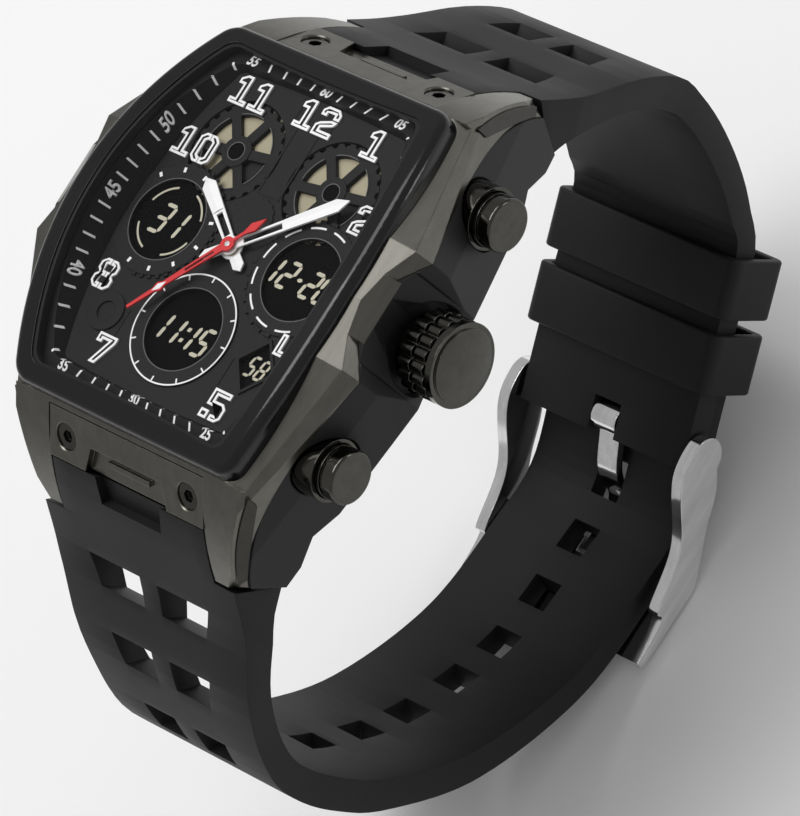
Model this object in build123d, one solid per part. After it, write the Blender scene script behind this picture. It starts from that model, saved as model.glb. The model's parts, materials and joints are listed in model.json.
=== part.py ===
from build123d import *
import math
import os

# Wrist watch with analogue hands and small digital windows, buckled on its rubber strap.
# +Z is the dial's outward normal, +Y points to 12 o'clock, +X to 3 o'clock and the crown.
# The model is drawn with z = 0 on the dial and raised by dial_height when it is written,
# so that the origin of the files is the middle of the case back's outer face.

os.makedirs("parts", exist_ok=True)

# Heights on the dial's scale
case_bottom_z = -11.4
back_thickness = 0.6
dial_height = back_thickness - case_bottom_z
back_face_z = -dial_height
dial_thickness = 0.3
lcd_thickness = 1.0

# Opening that the rim, the dial and the movement share
bore_corner_x = 12.5
bore_corner_y = 17.8
bore_side_x = 15.8
bore_end_y = 17.45
bore_corner_radius = 1.6
inside_fit = 0.1

# Black rim around the crystal
rim_corner_x = 14.25
rim_corner_y = 19.5
rim_side_x = 18.0
rim_end_y = 19.55
rim_corner_radius = 2.3
rim_seat_z = -1.0
rim_rise = 4.46
rim_edge_radius = 0.95
arch_radius = 58.0

# Crystal
crystal_rise = 4.4
crystal_thickness = 1.1
crystal_gasket_width = 0.35

# Dial flange with the minute track
flange_corner_x = 10.8
flange_corner_y = 15.7
flange_side_x = 13.9
flange_end_y = 16.0
flange_corner_radius = 0.9
flange_gap = 0.08

# Bezel
bezel_rise = 3.35
side_x = 21.3
side_slope = 0.42
shoulder_y = 6.3
notch_y = 3.2
notch_x = 20.5
notch_top_x = 19.2
notch_top_z = 2.7
shoulder_top_x = 20.35
shoulder_top_z = 2.1
corner_top_x = 15.3
corner_top_y = 19.6
corner_top_z = -1.4
split_centre_z = 1.6
lug_tip_y = 26.6
lug_tip_z = -10.2
lug_tip_width = 1.3
lug_start_y = 18.2
lug_mid_y = 23.2
lug_mid_z = -4.6

# Where bezel and mid-case meet, from the shoulder to the lug tip
split_shoulder_z = 0.3
split_mid_y = 14.5
split_mid_z = -2.1
split_lug_y = 20.5
split_lug_z = -5.3
split_tip_y = 25.6
split_tip_z = -11.35

# Mid-case
case_side_x = 21.8
case_slope = 0.43
guard_x = 22.4
guard_y = 4.85
guard_z = -5.6
crease_z = -2.3
guard_bottom_z = -7.3
bottom_edge_x = 17.7
lug_bottom_x = 13.7
lug_bottom_y = 23.2
lug_bottom_z = -15.1
lug_heel_y = 18.8
lug_arm_x = 10.4
case_end_y = 19.9
shelf_z = -6.3
shelf_y = 22.5
crown_recess_radius = 4.5
crown_recess_x = 20.6

# Plates between the lugs
plate_top_y = 20.0
plate_top_z = -1.2
plate_foot_y = 23.65
plate_foot_z = -4.95
plate_thickness = 1.5
plate_fit = 0.05
channel_x = 4.8
channel_foot_x = 5.7
channel_depth = 0.7
channel_length = 2.6
channel_bar_x = 2.8
plate_screw_x = 8.157
plate_screw_along = 2.75
plate_screw_head = 1.35
plate_screw_head_height = 0.75
plate_screw_sink = 0.25
plate_screw_shank = 0.7
plate_screw_length = 4.2
hex_across = 1.3
hex_depth = 0.5
countersink = 0.25

# Strips let into the outer edges of the lugs
inlay_start_y = 19.8
inlay_proud = 0.15
inlay_depth = 0.9
inlay_top_z = -1.75
inlay_foot_z = -3.3
inlay_mid_y = 23.15
inlay_mid_z = -5.2
inlay_low_mid_y = 22.3
inlay_low_mid_z = -6.4
inlay_tip_y = 26.05
inlay_tip_z = -10.1
inlay_low_tip_y = 25.15
inlay_low_tip_z = -10.3

# Dial furniture
lcd_side_x = 8.9
lcd_low_y = -8.725
lcd_radius = 4.12
subdial_radius = 5.76
subdial_rise = 0.18
diamond_x = 9.73
diamond_y = -9.02
diamond_half_width = 2.1
diamond_half_height = 2.5
diamond_frame_width = 0.45
diamond_rise = 0.2
gear_x = 6.281
gear_y = 8.545
gear_window_radius = 3.8
gear_hub_radius = 1.6
gear_hole_radius = 0.85
gear_hole_depth = 0.1
gear_root_radius = 4.75
gear_tip_radius = 5.1
gear_thickness = 0.34
gear_teeth = 24
gear_spokes = 6
gear_turn = -22
gear_spoke_width = 1.0
gear_recess = 0.1
gear_clear = 0.12
gear_back_thickness = 0.25
centre_gear_y = 3.4
centre_gear_radius = 2.2
centre_gear_teeth = 16
centre_gear_rise = 0.12
boss_x = -9.29
boss_y = -10.19
boss_radius = 2.0
boss_rise = 0.2

# Hands, with the angles they have in the photograph, clockwise from 12
hour_angle = 304.9
minute_angle = 48.6
second_angle = 214.5
hand_step = 0.42
hand_thickness = 0.2
hour_hand_z = 0.3
hour_length = 8.74
hour_width = 1.5
hour_tail = 2.9
minute_length = 12.66
minute_width = 1.35
minute_tail = 3.2
second_length = 11.24
second_tail = 4.4
second_tail_width = 0.95
second_width = 0.8
second_tip_width = 0.3
second_slot_width = 0.26
second_slot_start = 1.5
second_slot_end = 4.7
second_lozenge_at = 7.6
second_lozenge_half = 1.1
second_lozenge_width = 1.0
hour_hub_radius = 1.15
minute_hub_radius = 0.9
second_hub_radius = 0.74
slot_half_width = 0.32
slot_start = 1.5
hour_slot_end = 4.3
minute_slot_end = 5.6

# Tubes of the hands
hour_pipe_radius = 0.85
hour_pipe_bore = 0.63
minute_pipe_radius = 0.56
minute_pipe_bore = 0.35
second_arbor_radius = 0.28
arbor_hole_radius = 0.93
hour_pipe_foot = -2.0
minute_pipe_foot = -2.4
second_arbor_foot = -2.8

# Movement
module_corner_x = 11.5
module_corner_y = 15.5
module_side_x = 14.0
module_end_y = 15.8
module_corner_radius = 1.5
module_top_z = -2.2
module_lift = 4.0
module_foot_z = case_bottom_z + module_lift
board_thickness = 0.7
battery_radius = 8.0
battery_height = 1.6
battery_y = 2.5
battery_clip_width = 4.0
battery_clip_thickness = 0.25
coil_x = 7.0
coil_y = -10.5
coil_radius = 0.85
coil_length = 6.0
coil_end_radius = 1.1
coil_end_length = 0.6
buzzer_x = -5.5
buzzer_y = -11.0
buzzer_radius = 3.0
buzzer_thickness = 0.4
buzzer_spring_radius = 0.55
buzzer_spring_bore = 0.3
zebra_y = -14.4
zebra_length = 14.0
zebra_width = 1.2
holder_lift = 1.0
holder_foot_z = case_bottom_z + holder_lift

# Case back
back_corner_x = 15.4
back_corner_y = 17.6
back_side_x = 17.4
back_end_y = 18.1
back_corner_radius = 2.4
back_plug_height = 0.9
back_gasket_width = 0.7
back_gasket_height = 0.5
back_gasket_inset = 0.25
back_screw_x = 15.1
back_screw_y = 13.4
back_screw_head = 0.95
back_screw_head_height = 0.35
back_screw_shank = 0.5
back_screw_length = 3.0
slot_width = 0.3
slot_depth = 0.15
back_step_radius = 11.0
back_step_depth = 0.2

# Crown, its tube and its stem
crown_z = -4.8
crown_inner_x = 22.0
crown_outer_x = 26.2
crown_dome = 0.7
crown_radius = 4.1
crown_core_radius = 3.7
crown_groove_radius = 3.55
crown_groove_width = 0.35
crown_ribs = 18
crown_rib_radius = 0.6
crown_rim_width = 0.55
crown_collar_radius = 3.5
crown_collar_length = 0.8
crown_bore_radius = 1.9
crown_bore_depth = 2.8
tube_inner_x = 15.85
tube_outer_x = 23.9
tube_radius = 1.25
tube_bore_radius = 0.7
stem_radius = 0.62
stem_foot_x = 10.9
stem_groove_x = 12.0
stem_groove_width = 0.9
stem_groove_radius = 0.4
crown_gasket_x = 22.7
crown_gasket_width = 0.7
crown_gasket_gap = 0.08
lever_width = 3.4
lever_height = 2.8
lever_fit = 0.1
lever_pocket_x = 10.4
lever_pocket_outer_x = 14.4
lever_pocket_y = 2.3
lever_pocket_z = 2.0
holder_stem_hole = 0.75

# Push buttons
pusher_y = 13.5
pusher_z = -5.2
pusher_outer_x = 21.9
pusher_cap_radius = 2.6
pusher_cap_length = 2.9
pusher_groove_at = 1.35
pusher_groove_width = 0.35
pusher_groove_depth = 0.25
pusher_edge = 0.3
pusher_hollow_radius = 1.85
pusher_hollow_depth = 1.9
collar_radius = 3.05
collar_bore_radius = 2.68
collar_inner_x = 16.9
collar_floor_x = 17.8
collar_outer_x = 19.75
collar_recess_radius = 3.15
pusher_tube_radius = 1.15
pusher_tube_inner_x = 13.3
pusher_bore_radius = 0.78
pusher_stem_radius = 0.7
pusher_stem_foot_x = 12.6
pusher_groove_radius = 0.5
clip_x = 12.9
clip_thickness = 0.35
clip_radius = 1.4
clip_bore_radius = 0.5
pusher_gasket_x = 15.4
pusher_gasket_width = 0.5
pusher_gasket_radius = 0.745
spring_radius = 1.5
spring_wall = 0.3
pocket_inner_x = 11.4
pocket_half = 1.75

# Strap, drawn in the plane across the wrist
loop_reach = 36.0
loop_drop = 66.0
strap_half_width = 13.2
strap_in_lugs_x = 10.3
strap_block_y = 20.0
strap_block_top_z = -6.5
strap_block_out_y = 22.75
strap_heel_y = 23.7
strap_heel_z = -5.15
strap_block_foot_z = -11.6
strap_inner_start_y = 23.3
strap_inner_start_z = -15.6
lug_end_gap = 0.12
spring_bar_y = 22.2
spring_bar_z = -9.2
spring_bar_radius = 0.9
spring_bar_tip_radius = 0.5
spring_bar_tip = 1.1
spring_bar_fit = 0.05
strap_pocket_x = 4.7
strap_pocket_length = 2.6
strap_pocket_depth = 0.9

# Shares of loop_reach and loop_drop on the 6 o'clock strap, from the lug down
outer_6_shares = (
    (-0.7110, -0.1227), (-0.8278, -0.2394), (-0.9625, -0.3485), (-1.0500, -0.4742),
    (-1.0556, -0.5606),
)
outer_6_low_shares = (
    (-1.0110, -0.6590), (-0.9280, -0.7560), (-0.7000, -0.9060), (-0.3500, -1.0150),
    (-0.0200, -1.0410), (0.1900, -1.0370),
)
inner_6_shares = (
    (-0.8056, -0.2894), (-0.9200, -0.3850), (-0.9694, -0.4712), (-0.9694, -0.5409),
    (-0.9306, -0.6318),
)
inner_6_low_shares = (
    (-0.8528, -0.7258), (-0.6306, -0.8697), (-0.3278, -0.9712), (0.0300, -1.0000),
    (0.1950, -1.0000),
)

# The same for the 12 o'clock strap, whose lower end is straight
outer_12_shares = (
    (0.7110, -0.1227), (0.8417, -0.2402), (0.9889, -0.3409), (1.0780, -0.4300), (1.0833, -0.5000),
)
outer_12_low_shares = ((1.0650, -0.5760), (1.0194, -0.6591), (0.9611, -0.7273))
inner_12_shares = (
    (0.8083, -0.2894), (0.9250, -0.3690), (0.9972, -0.4712), (0.9917, -0.5500), (0.9639, -0.6318),
)

# Straight end of the 12 o'clock strap
end_start_shares = (0.83889, -0.75758)
end_angle = 28.0
end_thickness = 2.8
end_length = 22.1
end_half_width = 11.0
tail_half_width = 10.0
tail_gap = 0.12
tail_thickness = 2.3
tail_end = 9.0
tail_start = 17.6

# Half widths of the straps as shares of strap_half_width, against shares of loop_drop
strap_width_shares = (
    (1.0, -0.15), (0.985, -0.24), (0.932, -0.29), (0.85, -0.41), (0.80, -0.55), (0.765, -0.73),
)

# Windows in the straps, at the second to fourth outer point: centre and half widths in x
window_x = (4.65, 4.05, 3.55)
window_half_wide = (3.45, 2.75, 2.15)
window_half_narrow = (2.95, 2.35, 2.0)
window_lean = (32.0, 27.0, 15.0)
window_length = 3.6
window_through = 9.0

# Tongue holes
hole_side = 3.5
hole_round = 0.6
hole_pitch = 6.6
hole_count = 8
hole_start_share = 0.887
hole_through = 8.0

# Keepers
keeper_length = 6.1
keeper_half_width = 12.3
keeper_inner_half_width = 11.1
keeper_thickness = 7.7
keeper_wall = 1.15
keeper_fixed_at = 3.25
keeper_free_at = 10.95
keeper_round = 0.6

# Buckle
bar_along = 20.4
bar_depth = 1.45
bar_radius = 0.75
bar_half_length = 12.1
bar_fit = 0.08
bar_end_gap = 0.1
eye_radius = 2.2
arm_inner_x = 11.3
arm_outer_x = 12.6
plate_near_reach = 10.41
plate_far_reach = 19.91
buckle_plate_gap = 0.344
buckle_plate_top_z = outer_6_low_shares[4][1] * loop_drop - buckle_plate_gap
buckle_plate_thickness = 1.15
tongue_notch_half = 1.55
tongue_notch_reach = 12.21
tongue_half_width = 1.3
tongue_curl_half = 1.6
tongue_curl_radius = 1.55
tongue_thickness = 0.9
tongue_bend_share = 2.25
tongue_slot_half = 1.75
tongue_slot_length = 3.6
plate_rise = 0.45

# Shares of the plate's far reach and of the drop from the bar to the plate's foot, along an arm's two edges
arm_upper_shares = ((-0.141, 0.18), (-0.28, -0.094), (-0.489, -0.507), (-0.747, -0.69))
arm_lower_shares = ((-0.126, -0.49), (-0.247, -0.62), (-0.417, -0.86))

far = 60.0
z_span = 40.0


def save(shape, node):
    """Raise a node to its place above the case back and write it."""
    placed = Pos(0, 0, dial_height) * shape
    export_step(placed, f"parts/{node}.step")


def group(solids):
    return Compound(children=list(solids))


def tonneau(corner_x, corner_y, middle_x, middle_y, corner_radius):
    """Barrel outline of four arcs with rounded corners."""
    with BuildSketch() as outline:
        with BuildLine():
            ThreePointArc((corner_x, -corner_y), (middle_x, 0), (corner_x, corner_y))
            ThreePointArc((corner_x, corner_y), (0, middle_y), (-corner_x, corner_y))
            ThreePointArc((-corner_x, corner_y), (-middle_x, 0), (-corner_x, -corner_y))
            ThreePointArc((-corner_x, -corner_y), (0, -middle_y), (corner_x, -corner_y))
        make_face()
        fillet(outline.vertices(), corner_radius)
    return outline.sketch


def slab(outline, low, high):
    return extrude(Pos(0, 0, low) * outline, amount=high - low)


def bore_outline(gap=0.0):
    return tonneau(
        bore_corner_x - gap, bore_corner_y - gap, bore_side_x - gap, bore_end_y - gap, bore_corner_radius
    )


def module_outline(gap=0.0):
    return tonneau(
        module_corner_x - gap,
        module_corner_y - gap,
        module_side_x - gap,
        module_end_y - gap,
        module_corner_radius,
    )


def rim_outline():
    return tonneau(rim_corner_x, rim_corner_y, rim_side_x, rim_end_y, rim_corner_radius)


def arch(rise, radius=arch_radius):
    """Everything under a vault that runs along X."""
    barrel = Cylinder(radius, 2 * far, rotation=(0, 90, 0))
    return Pos(0, 0, rise - radius) * barrel


def x_rod(radius, start, end, y, z):
    rod = Cylinder(radius, end - start, rotation=(0, 90, 0))
    return Pos((start + end) / 2, y, z) * rod


def x_ring(outer, inner, start, end, y, z):
    return x_rod(outer, start, end, y, z) - x_rod(inner, start, end, y, z)


def z_rod(radius, low, high, x=0.0, y=0.0):
    return Pos(x, y, (low + high) / 2) * Cylinder(radius, high - low)


def z_ring(outer, inner, low, high, x=0.0, y=0.0):
    return z_rod(outer, low, high, x, y) - z_rod(inner, low, high, x, y)


def block(x_low, x_high, y_low, y_high, z_low, z_high):
    box = Box(x_high - x_low, y_high - y_low, z_high - z_low)
    return Pos((x_low + x_high) / 2, (y_low + y_high) / 2, (z_low + z_high) / 2) * box


def side_prism(points, x_low, x_high):
    """Prism along X over a closed outline of (y, z) points."""
    face = make_face(Polyline(*[(0, y, z) for y, z in points], close=True))
    return Pos(x_low, 0, 0) * extrude(face, amount=x_high - x_low, dir=(1, 0, 0))


def both_ends(shape):
    """A shape and its copy turned half round, for the 12 and the 6 o'clock end."""
    return [shape, Rot(0, 0, 180) * shape]


def four_corners(shape):
    half = [shape, mirror(shape, Plane.YZ)]
    return half + [mirror(one, Plane.XZ) for one in half]


def side_at(y, middle=side_x, slope=side_slope):
    return middle - slope * (y - shoulder_y)


def split_line():
    """Line between bezel and mid-case seen from the side, for y above zero."""
    return [
        Line((0, 0, split_centre_z), (0, notch_y, split_centre_z)),
        Line((0, notch_y, split_centre_z), (0, shoulder_y, split_shoulder_z)),
        Spline(
            (0, shoulder_y, split_shoulder_z),
            (0, split_mid_y, split_mid_z),
            (0, split_lug_y, split_lug_z),
            (0, split_tip_y, split_tip_z),
        ),
    ]


def quarter_profile(edges, x_high):
    """Prism from x = 0 over a closed line in the side view."""
    face = make_face(Wire(edges))
    return extrude(face, amount=x_high, dir=(1, 0, 0))


def cut_beyond(point_a, point_b, point_c, keep_point):
    """Half space on the far side of a plane through three points."""
    a = Vector(*point_a)
    normal = (Vector(*point_b) - a).cross(Vector(*point_c) - a).normalized()
    if normal.dot(Vector(*keep_point) - a) > 0:
        normal = normal * -1
    plane = Plane(origin=a, z_dir=normal)
    return plane * Pos(0, 0, far / 2) * Box(2 * far, 2 * far, far)


def bezel():
    tip = (0, lug_tip_y, lug_tip_z)
    arch_z = bezel_rise - arch_radius + math.sqrt(arch_radius**2 - lug_start_y**2)
    half_y = lug_start_y / 2
    half_z = bezel_rise - arch_radius + math.sqrt(arch_radius**2 - half_y**2)
    top = [
        ThreePointArc((0, 0, bezel_rise), (0, half_y, half_z), (0, lug_start_y, arch_z)),
        ThreePointArc((0, lug_start_y, arch_z), (0, lug_mid_y, lug_mid_z), tip),
        Line(tip, (0, split_tip_y, split_tip_z)),
        Line((0, 0, bezel_rise), (0, 0, split_centre_z)),
    ]
    body = quarter_profile(top + split_line(), far)
    tip_x = side_at(split_tip_y)
    plan = make_face(
        Polyline(
            (0, 0),
            (notch_x, 0),
            (notch_x, notch_y),
            (side_x, shoulder_y),
            (tip_x, split_tip_y),
            (tip_x - lug_tip_width, lug_tip_y + inlay_proud),
            (lug_arm_x, lug_tip_y + inlay_proud),
            (lug_arm_x, case_end_y),
            (0, case_end_y),
            close=True,
        )
    )
    body = body & slab(plan, -z_span, z_span)
    inside = (0, 0, -far)
    side = cut_beyond(
        (shoulder_top_x, shoulder_y, shoulder_top_z),
        (corner_top_x, corner_top_y, corner_top_z),
        (side_x, shoulder_y, split_shoulder_z),
        inside,
    )
    notch_side = cut_beyond(
        (notch_top_x, 0, notch_top_z),
        (notch_top_x, notch_y, notch_top_z),
        (notch_x, notch_y, split_centre_z),
        inside,
    )
    notch_slant = cut_beyond(
        (notch_top_x, notch_y, notch_top_z),
        (shoulder_top_x, shoulder_y, shoulder_top_z),
        (side_x, shoulder_y, split_shoulder_z),
        inside,
    )
    near = block(0, far, 0, notch_y, -far, far)
    slant = block(0, far, notch_y, shoulder_y, -far, far)
    body = body - side - (notch_side & near) - (notch_slant & slant)
    rim_far_x = rim_side_x - (rim_side_x - rim_corner_x) * (shoulder_y / rim_corner_y) ** 2
    shoulder_arch = bezel_rise - shoulder_y**2 / (2 * arch_radius)
    corner_arch = bezel_rise - rim_corner_y**2 / (2 * arch_radius)
    slope = cut_beyond(
        (rim_far_x, shoulder_y, shoulder_arch),
        (shoulder_top_x, shoulder_y, shoulder_top_z),
        (corner_top_x, corner_top_y, corner_top_z),
        inside,
    )
    inner_slope = cut_beyond(
        (rim_side_x, 0, bezel_rise),
        (notch_top_x, notch_y, notch_top_z),
        (rim_far_x, shoulder_y, shoulder_arch),
        inside,
    )
    middle = block(0, far, 0, shoulder_y, -far, far)
    outer = block(0, far, shoulder_y, rim_corner_y + corner_arch, -far, far)
    body = body - (slope & outer) - (inner_slope & middle)
    whole = four_corners(body)
    ring = whole[0] + whole[1] + whole[2] + whole[3]
    ring = ring - slab(rim_outline(), rim_seat_z, z_span) - slab(bore_outline(), -z_span, z_span)
    for end in both_ends(group(plate_screw(side) for side in (-1, 1))):
        for screw in end.solids():
            ring = ring - screw
    for strip in inlays():
        ring = ring - strip
    for cutter in plate_clearances():
        ring = ring - cutter
    return ring


def inlay():
    """One curved strip, let into the outer edge of the 12 o'clock lug beside the crown."""
    outer_mid = (0, inlay_mid_y, inlay_mid_z)
    low_mid = (0, inlay_low_mid_y, inlay_low_mid_z)
    start = (0, inlay_start_y, inlay_top_z)
    tip = (0, inlay_tip_y, inlay_tip_z)
    low_tip = (0, inlay_low_tip_y, inlay_low_tip_z)
    low_start = (0, inlay_start_y, inlay_foot_z)
    edges = [
        ThreePointArc(start, outer_mid, tip),
        Line(tip, low_tip),
        ThreePointArc(low_tip, low_mid, low_start),
        Line(low_start, start),
    ]
    band = quarter_profile(edges, far)
    start_x = side_at(inlay_start_y) + inlay_proud
    end_x = side_at(inlay_tip_y) + inlay_proud
    plan = make_face(
        Polyline(
            (start_x, inlay_start_y),
            (end_x, inlay_tip_y),
            (end_x - inlay_depth, inlay_tip_y),
            (start_x - inlay_depth, inlay_start_y),
            close=True,
        )
    )
    return band & slab(plan, -z_span, z_span)


def inlays():
    return four_corners(inlay())


def end_plane():
    """Outer face of the 12 o'clock end plate, with its y axis running down the slope."""
    direction = Vector(0, plate_foot_y - plate_top_y, plate_foot_z - plate_top_z).normalized()
    outward = Vector(1, 0, 0).cross(direction)
    return Plane(origin=(0, plate_top_y, plate_top_z), x_dir=(1, 0, 0), z_dir=outward)


def plate_length():
    return math.hypot(plate_foot_y - plate_top_y, plate_foot_z - plate_top_z)


def end_plate_body(grow=0.0):
    width = 2 * (lug_arm_x - plate_fit + grow)
    length = plate_length()
    return end_plane() * Pos(0, length / 2, -plate_thickness / 2) * Box(width, length, plate_thickness)


def end_plate():
    plate = end_plate_body()
    plane = end_plane()
    length = plate_length()
    channel = make_face(
        Polyline(
            (-channel_x, length - channel_length),
            (channel_x, length - channel_length),
            (channel_foot_x, length + channel_depth),
            (-channel_foot_x, length + channel_depth),
            close=True,
        )
    )
    cutter = extrude(plane * Pos(0, 0, -channel_depth) * channel, amount=plate_thickness, dir=plane.z_dir)
    bar_share = 0.6
    bar = Pos(0, length - channel_length * bar_share, -channel_depth) * Box(
        2 * channel_bar_x, channel_length * (1 - bar_share) / 2, channel_depth
    )
    plate = plate - cutter
    plate = plate + plane * bar
    for side in (-1, 1):
        place = plane * Pos(side * plate_screw_x, plate_screw_along, 0)
        head = place * Pos(0, 0, -plate_screw_sink) * Cylinder(plate_screw_head, 2 * plate_screw_head_height)
        hole = place * Cylinder(plate_screw_shank, far / 4)
        mouth = place * Cone(plate_screw_head, plate_screw_head + countersink, countersink)
        plate = plate - head - hole - mouth
    return plate


def plate_clearances():
    """Room that the two end plates take in the case."""
    return both_ends(end_plate_body(plate_fit))


def plate_screw(side):
    plane = end_plane()
    place = plane * Pos(side * plate_screw_x, plate_screw_along, 0)
    low = -plate_screw_sink - plate_screw_head_height
    head = Cylinder(plate_screw_head, plate_screw_head_height)
    head = place * Pos(0, 0, low + plate_screw_head_height / 2) * head
    shank = place * Pos(0, 0, low - plate_screw_length / 2) * Cylinder(plate_screw_shank, plate_screw_length)
    hexagon = RegularPolygon(hex_across / 2, 6)
    socket_place = place * Pos(0, 0, low + plate_screw_head_height - hex_depth)
    socket = extrude(socket_place * hexagon, amount=hex_depth, dir=plane.z_dir)
    return head + shank - socket


def mid_case():
    top = split_line()
    lug_foot = (0, lug_bottom_y, lug_bottom_z)
    edges = top + [
        Line((0, split_tip_y, split_tip_z), lug_foot),
        Line(lug_foot, (0, lug_heel_y, case_bottom_z)),
        Line((0, lug_heel_y, case_bottom_z), (0, 0, case_bottom_z)),
        Line((0, 0, case_bottom_z), (0, 0, split_centre_z)),
    ]
    body = quarter_profile(edges, far)
    plan = make_face(
        Polyline(
            (0, 0),
            (notch_x, 0),
            (notch_x, notch_y / 2),
            (guard_x, guard_y),
            (case_side_x, shoulder_y),
            (side_at(split_tip_y, case_side_x, case_slope), split_tip_y),
            (lug_arm_x, split_tip_y + lug_end_gap),
            (lug_arm_x, case_end_y),
            (0, case_end_y),
            close=True,
        )
    )
    body = body & slab(plan, -z_span, z_span)
    across = make_face(
        Polyline(
            (0, 0, z_span),
            (guard_x + inside_fit, 0, z_span),
            (guard_x + inside_fit, 0, guard_bottom_z),
            (bottom_edge_x, 0, case_bottom_z),
            (lug_bottom_x, 0, lug_bottom_z),
            (0, 0, lug_bottom_z),
            close=True,
        )
    )
    body = body & extrude(across, amount=far, dir=(0, 1, 0))
    upper = cut_beyond(
        (side_x, shoulder_y, split_shoulder_z),
        (side_at(split_lug_y), split_lug_y, split_lug_z),
        (case_side_x, shoulder_y, crease_z),
        (0, 0, -far),
    )
    near = cut_beyond(
        (notch_x, 0, split_centre_z),
        (notch_x, notch_y, split_centre_z),
        (guard_x, guard_y, guard_z),
        (0, 0, -far),
    )
    slant = cut_beyond(
        (notch_x, notch_y, split_centre_z),
        (side_x, shoulder_y, split_shoulder_z),
        (guard_x, guard_y, guard_z),
        (0, 0, -far),
    )
    body = body - (upper & block(0, far, shoulder_y, far, -far, far))
    body = body - (near & block(0, far, 0, guard_y, -far, far))
    body = body - (slant & block(0, far, guard_y, shoulder_y, -far, far))
    shelf_points = [(case_end_y, plate_top_z - plate_thickness), (case_end_y, shelf_z), (shelf_y, shelf_z)]
    body = body + side_prism(shelf_points, 0, lug_arm_x)
    whole = four_corners(body)
    case = whole[0] + whole[1] + whole[2] + whole[3]
    case = case - slab(bore_outline(), -z_span, z_span) - slab(rim_outline(), rim_seat_z, z_span)
    for cutter in plate_clearances():
        case = case - cutter
    case = case - slab(back_outline(inside_fit), -z_span, case_bottom_z)
    case = case - x_rod(crown_recess_radius, crown_recess_x, far, 0, crown_z)
    case = case - x_rod(tube_radius, tube_inner_x - inside_fit, far, 0, crown_z)
    for y in (pusher_y, -pusher_y):
        case = case - x_rod(collar_recess_radius, collar_inner_x, far, y, pusher_z)
        case = case - x_rod(pusher_tube_radius, 0, far, y, pusher_z)
    for x in (back_screw_x, -back_screw_x):
        for y in (back_screw_y, -back_screw_y):
            case = case - z_rod(back_screw_shank, case_bottom_z, case_bottom_z + back_screw_length, x, y)
    for y in (spring_bar_y, -spring_bar_y):
        reach = lug_arm_x + spring_bar_tip + spring_bar_fit
        case = case - x_rod(spring_bar_tip_radius + spring_bar_fit, -reach, reach, y, spring_bar_z)
    for end in both_ends(group(plate_screw(side) for side in (-1, 1))):
        for screw in end.solids():
            case = case - screw
    return case


def crystal_rim():
    ring = slab(rim_outline(), rim_seat_z, z_span) - slab(bore_outline(), -z_span, z_span)
    ring = ring & arch(rim_rise)
    outer_edges = ring.faces().sort_by(Axis.Z)[-1].outer_wire().edges()
    return fillet(outer_edges, rim_edge_radius)


def crystal():
    gap = crystal_gasket_width
    plate = slab(bore_outline(gap), -z_span, z_span) & arch(crystal_rise)
    inner_radius = arch_radius - crystal_thickness
    return plate - arch(crystal_rise - crystal_thickness, inner_radius)


def crystal_gasket():
    ring = slab(bore_outline(), -z_span, z_span) - slab(bore_outline(crystal_gasket_width), -z_span, z_span)
    ring = ring & arch(crystal_rise - inside_fit)
    return ring - arch(crystal_rise - crystal_thickness, arch_radius - crystal_thickness)


def flange_opening(inset=0.0):
    return tonneau(flange_corner_x - inset, flange_corner_y - inset, flange_side_x - inset,
                   flange_end_y - inset, flange_corner_radius)


def chapter_ring():
    under_glass = crystal_rise - crystal_thickness - flange_gap
    vault_radius = arch_radius - crystal_thickness - flange_gap
    ring = slab(bore_outline(flange_gap), 0, z_span) & arch(under_glass, vault_radius)
    high = bore_outline(crystal_gasket_width)
    opening = loft([flange_opening(), Pos(0, 0, under_glass) * high])
    return ring - opening


def lcd_places():
    return ((-lcd_side_x, 0), (lcd_side_x, 0), (0, lcd_low_y))


def gear_places():
    return ((-gear_x, gear_y), (gear_x, gear_y))


def diamond(grow=0.0):
    half_width = diamond_half_width + grow
    half_height = diamond_half_height + grow
    face = make_face(
        Polyline((half_width, 0), (0, half_height), (-half_width, 0), (0, -half_height), close=True)
    )
    return Pos(diamond_x, diamond_y, 0) * face


def dial_plate():
    plate = slab(bore_outline(inside_fit), -dial_thickness, 0)
    for x, y in lcd_places():
        plate = plate - z_rod(lcd_radius, -dial_thickness, 0, x, y)
    for x, y in gear_places():
        plate = plate - z_rod(gear_tip_radius + gear_clear, -dial_thickness, 0, x, y)
    plate = plate - slab(diamond(), -dial_thickness, 0)
    plate = plate - z_rod(arbor_hole_radius, -dial_thickness, 0)
    return plate + z_ring(boss_radius, boss_radius / 2, 0, boss_rise, boss_x, boss_y)


def lcd_panel():
    panel = slab(module_outline(inside_fit), -dial_thickness - lcd_thickness, -dial_thickness)
    panel = panel - z_rod(arbor_hole_radius, -z_span, 0)
    for x, y in gear_places():
        floor = -dial_thickness - gear_thickness - gear_back_thickness
        panel = panel - z_rod(gear_tip_radius + gear_clear, floor, 0, x, y)
    return panel


def gear_backplate():
    top = -dial_thickness - gear_thickness
    return group(
        z_rod(gear_tip_radius, top - gear_back_thickness, top, x, y) for x, y in gear_places()
    )


def gear_outline(root, tip, teeth):
    """Toothed disc with flat-topped teeth."""
    step = 2 * math.pi / teeth
    shares = (0.0, 0.3, 0.45, 0.85)
    radii = (root, root, tip, tip)
    points = []
    for tooth in range(teeth):
        for share, radius in zip(shares, radii):
            angle = (tooth + share) * step
            points.append((radius * math.cos(angle), radius * math.sin(angle)))
    return make_face(Polyline(*points, close=True))


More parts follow.
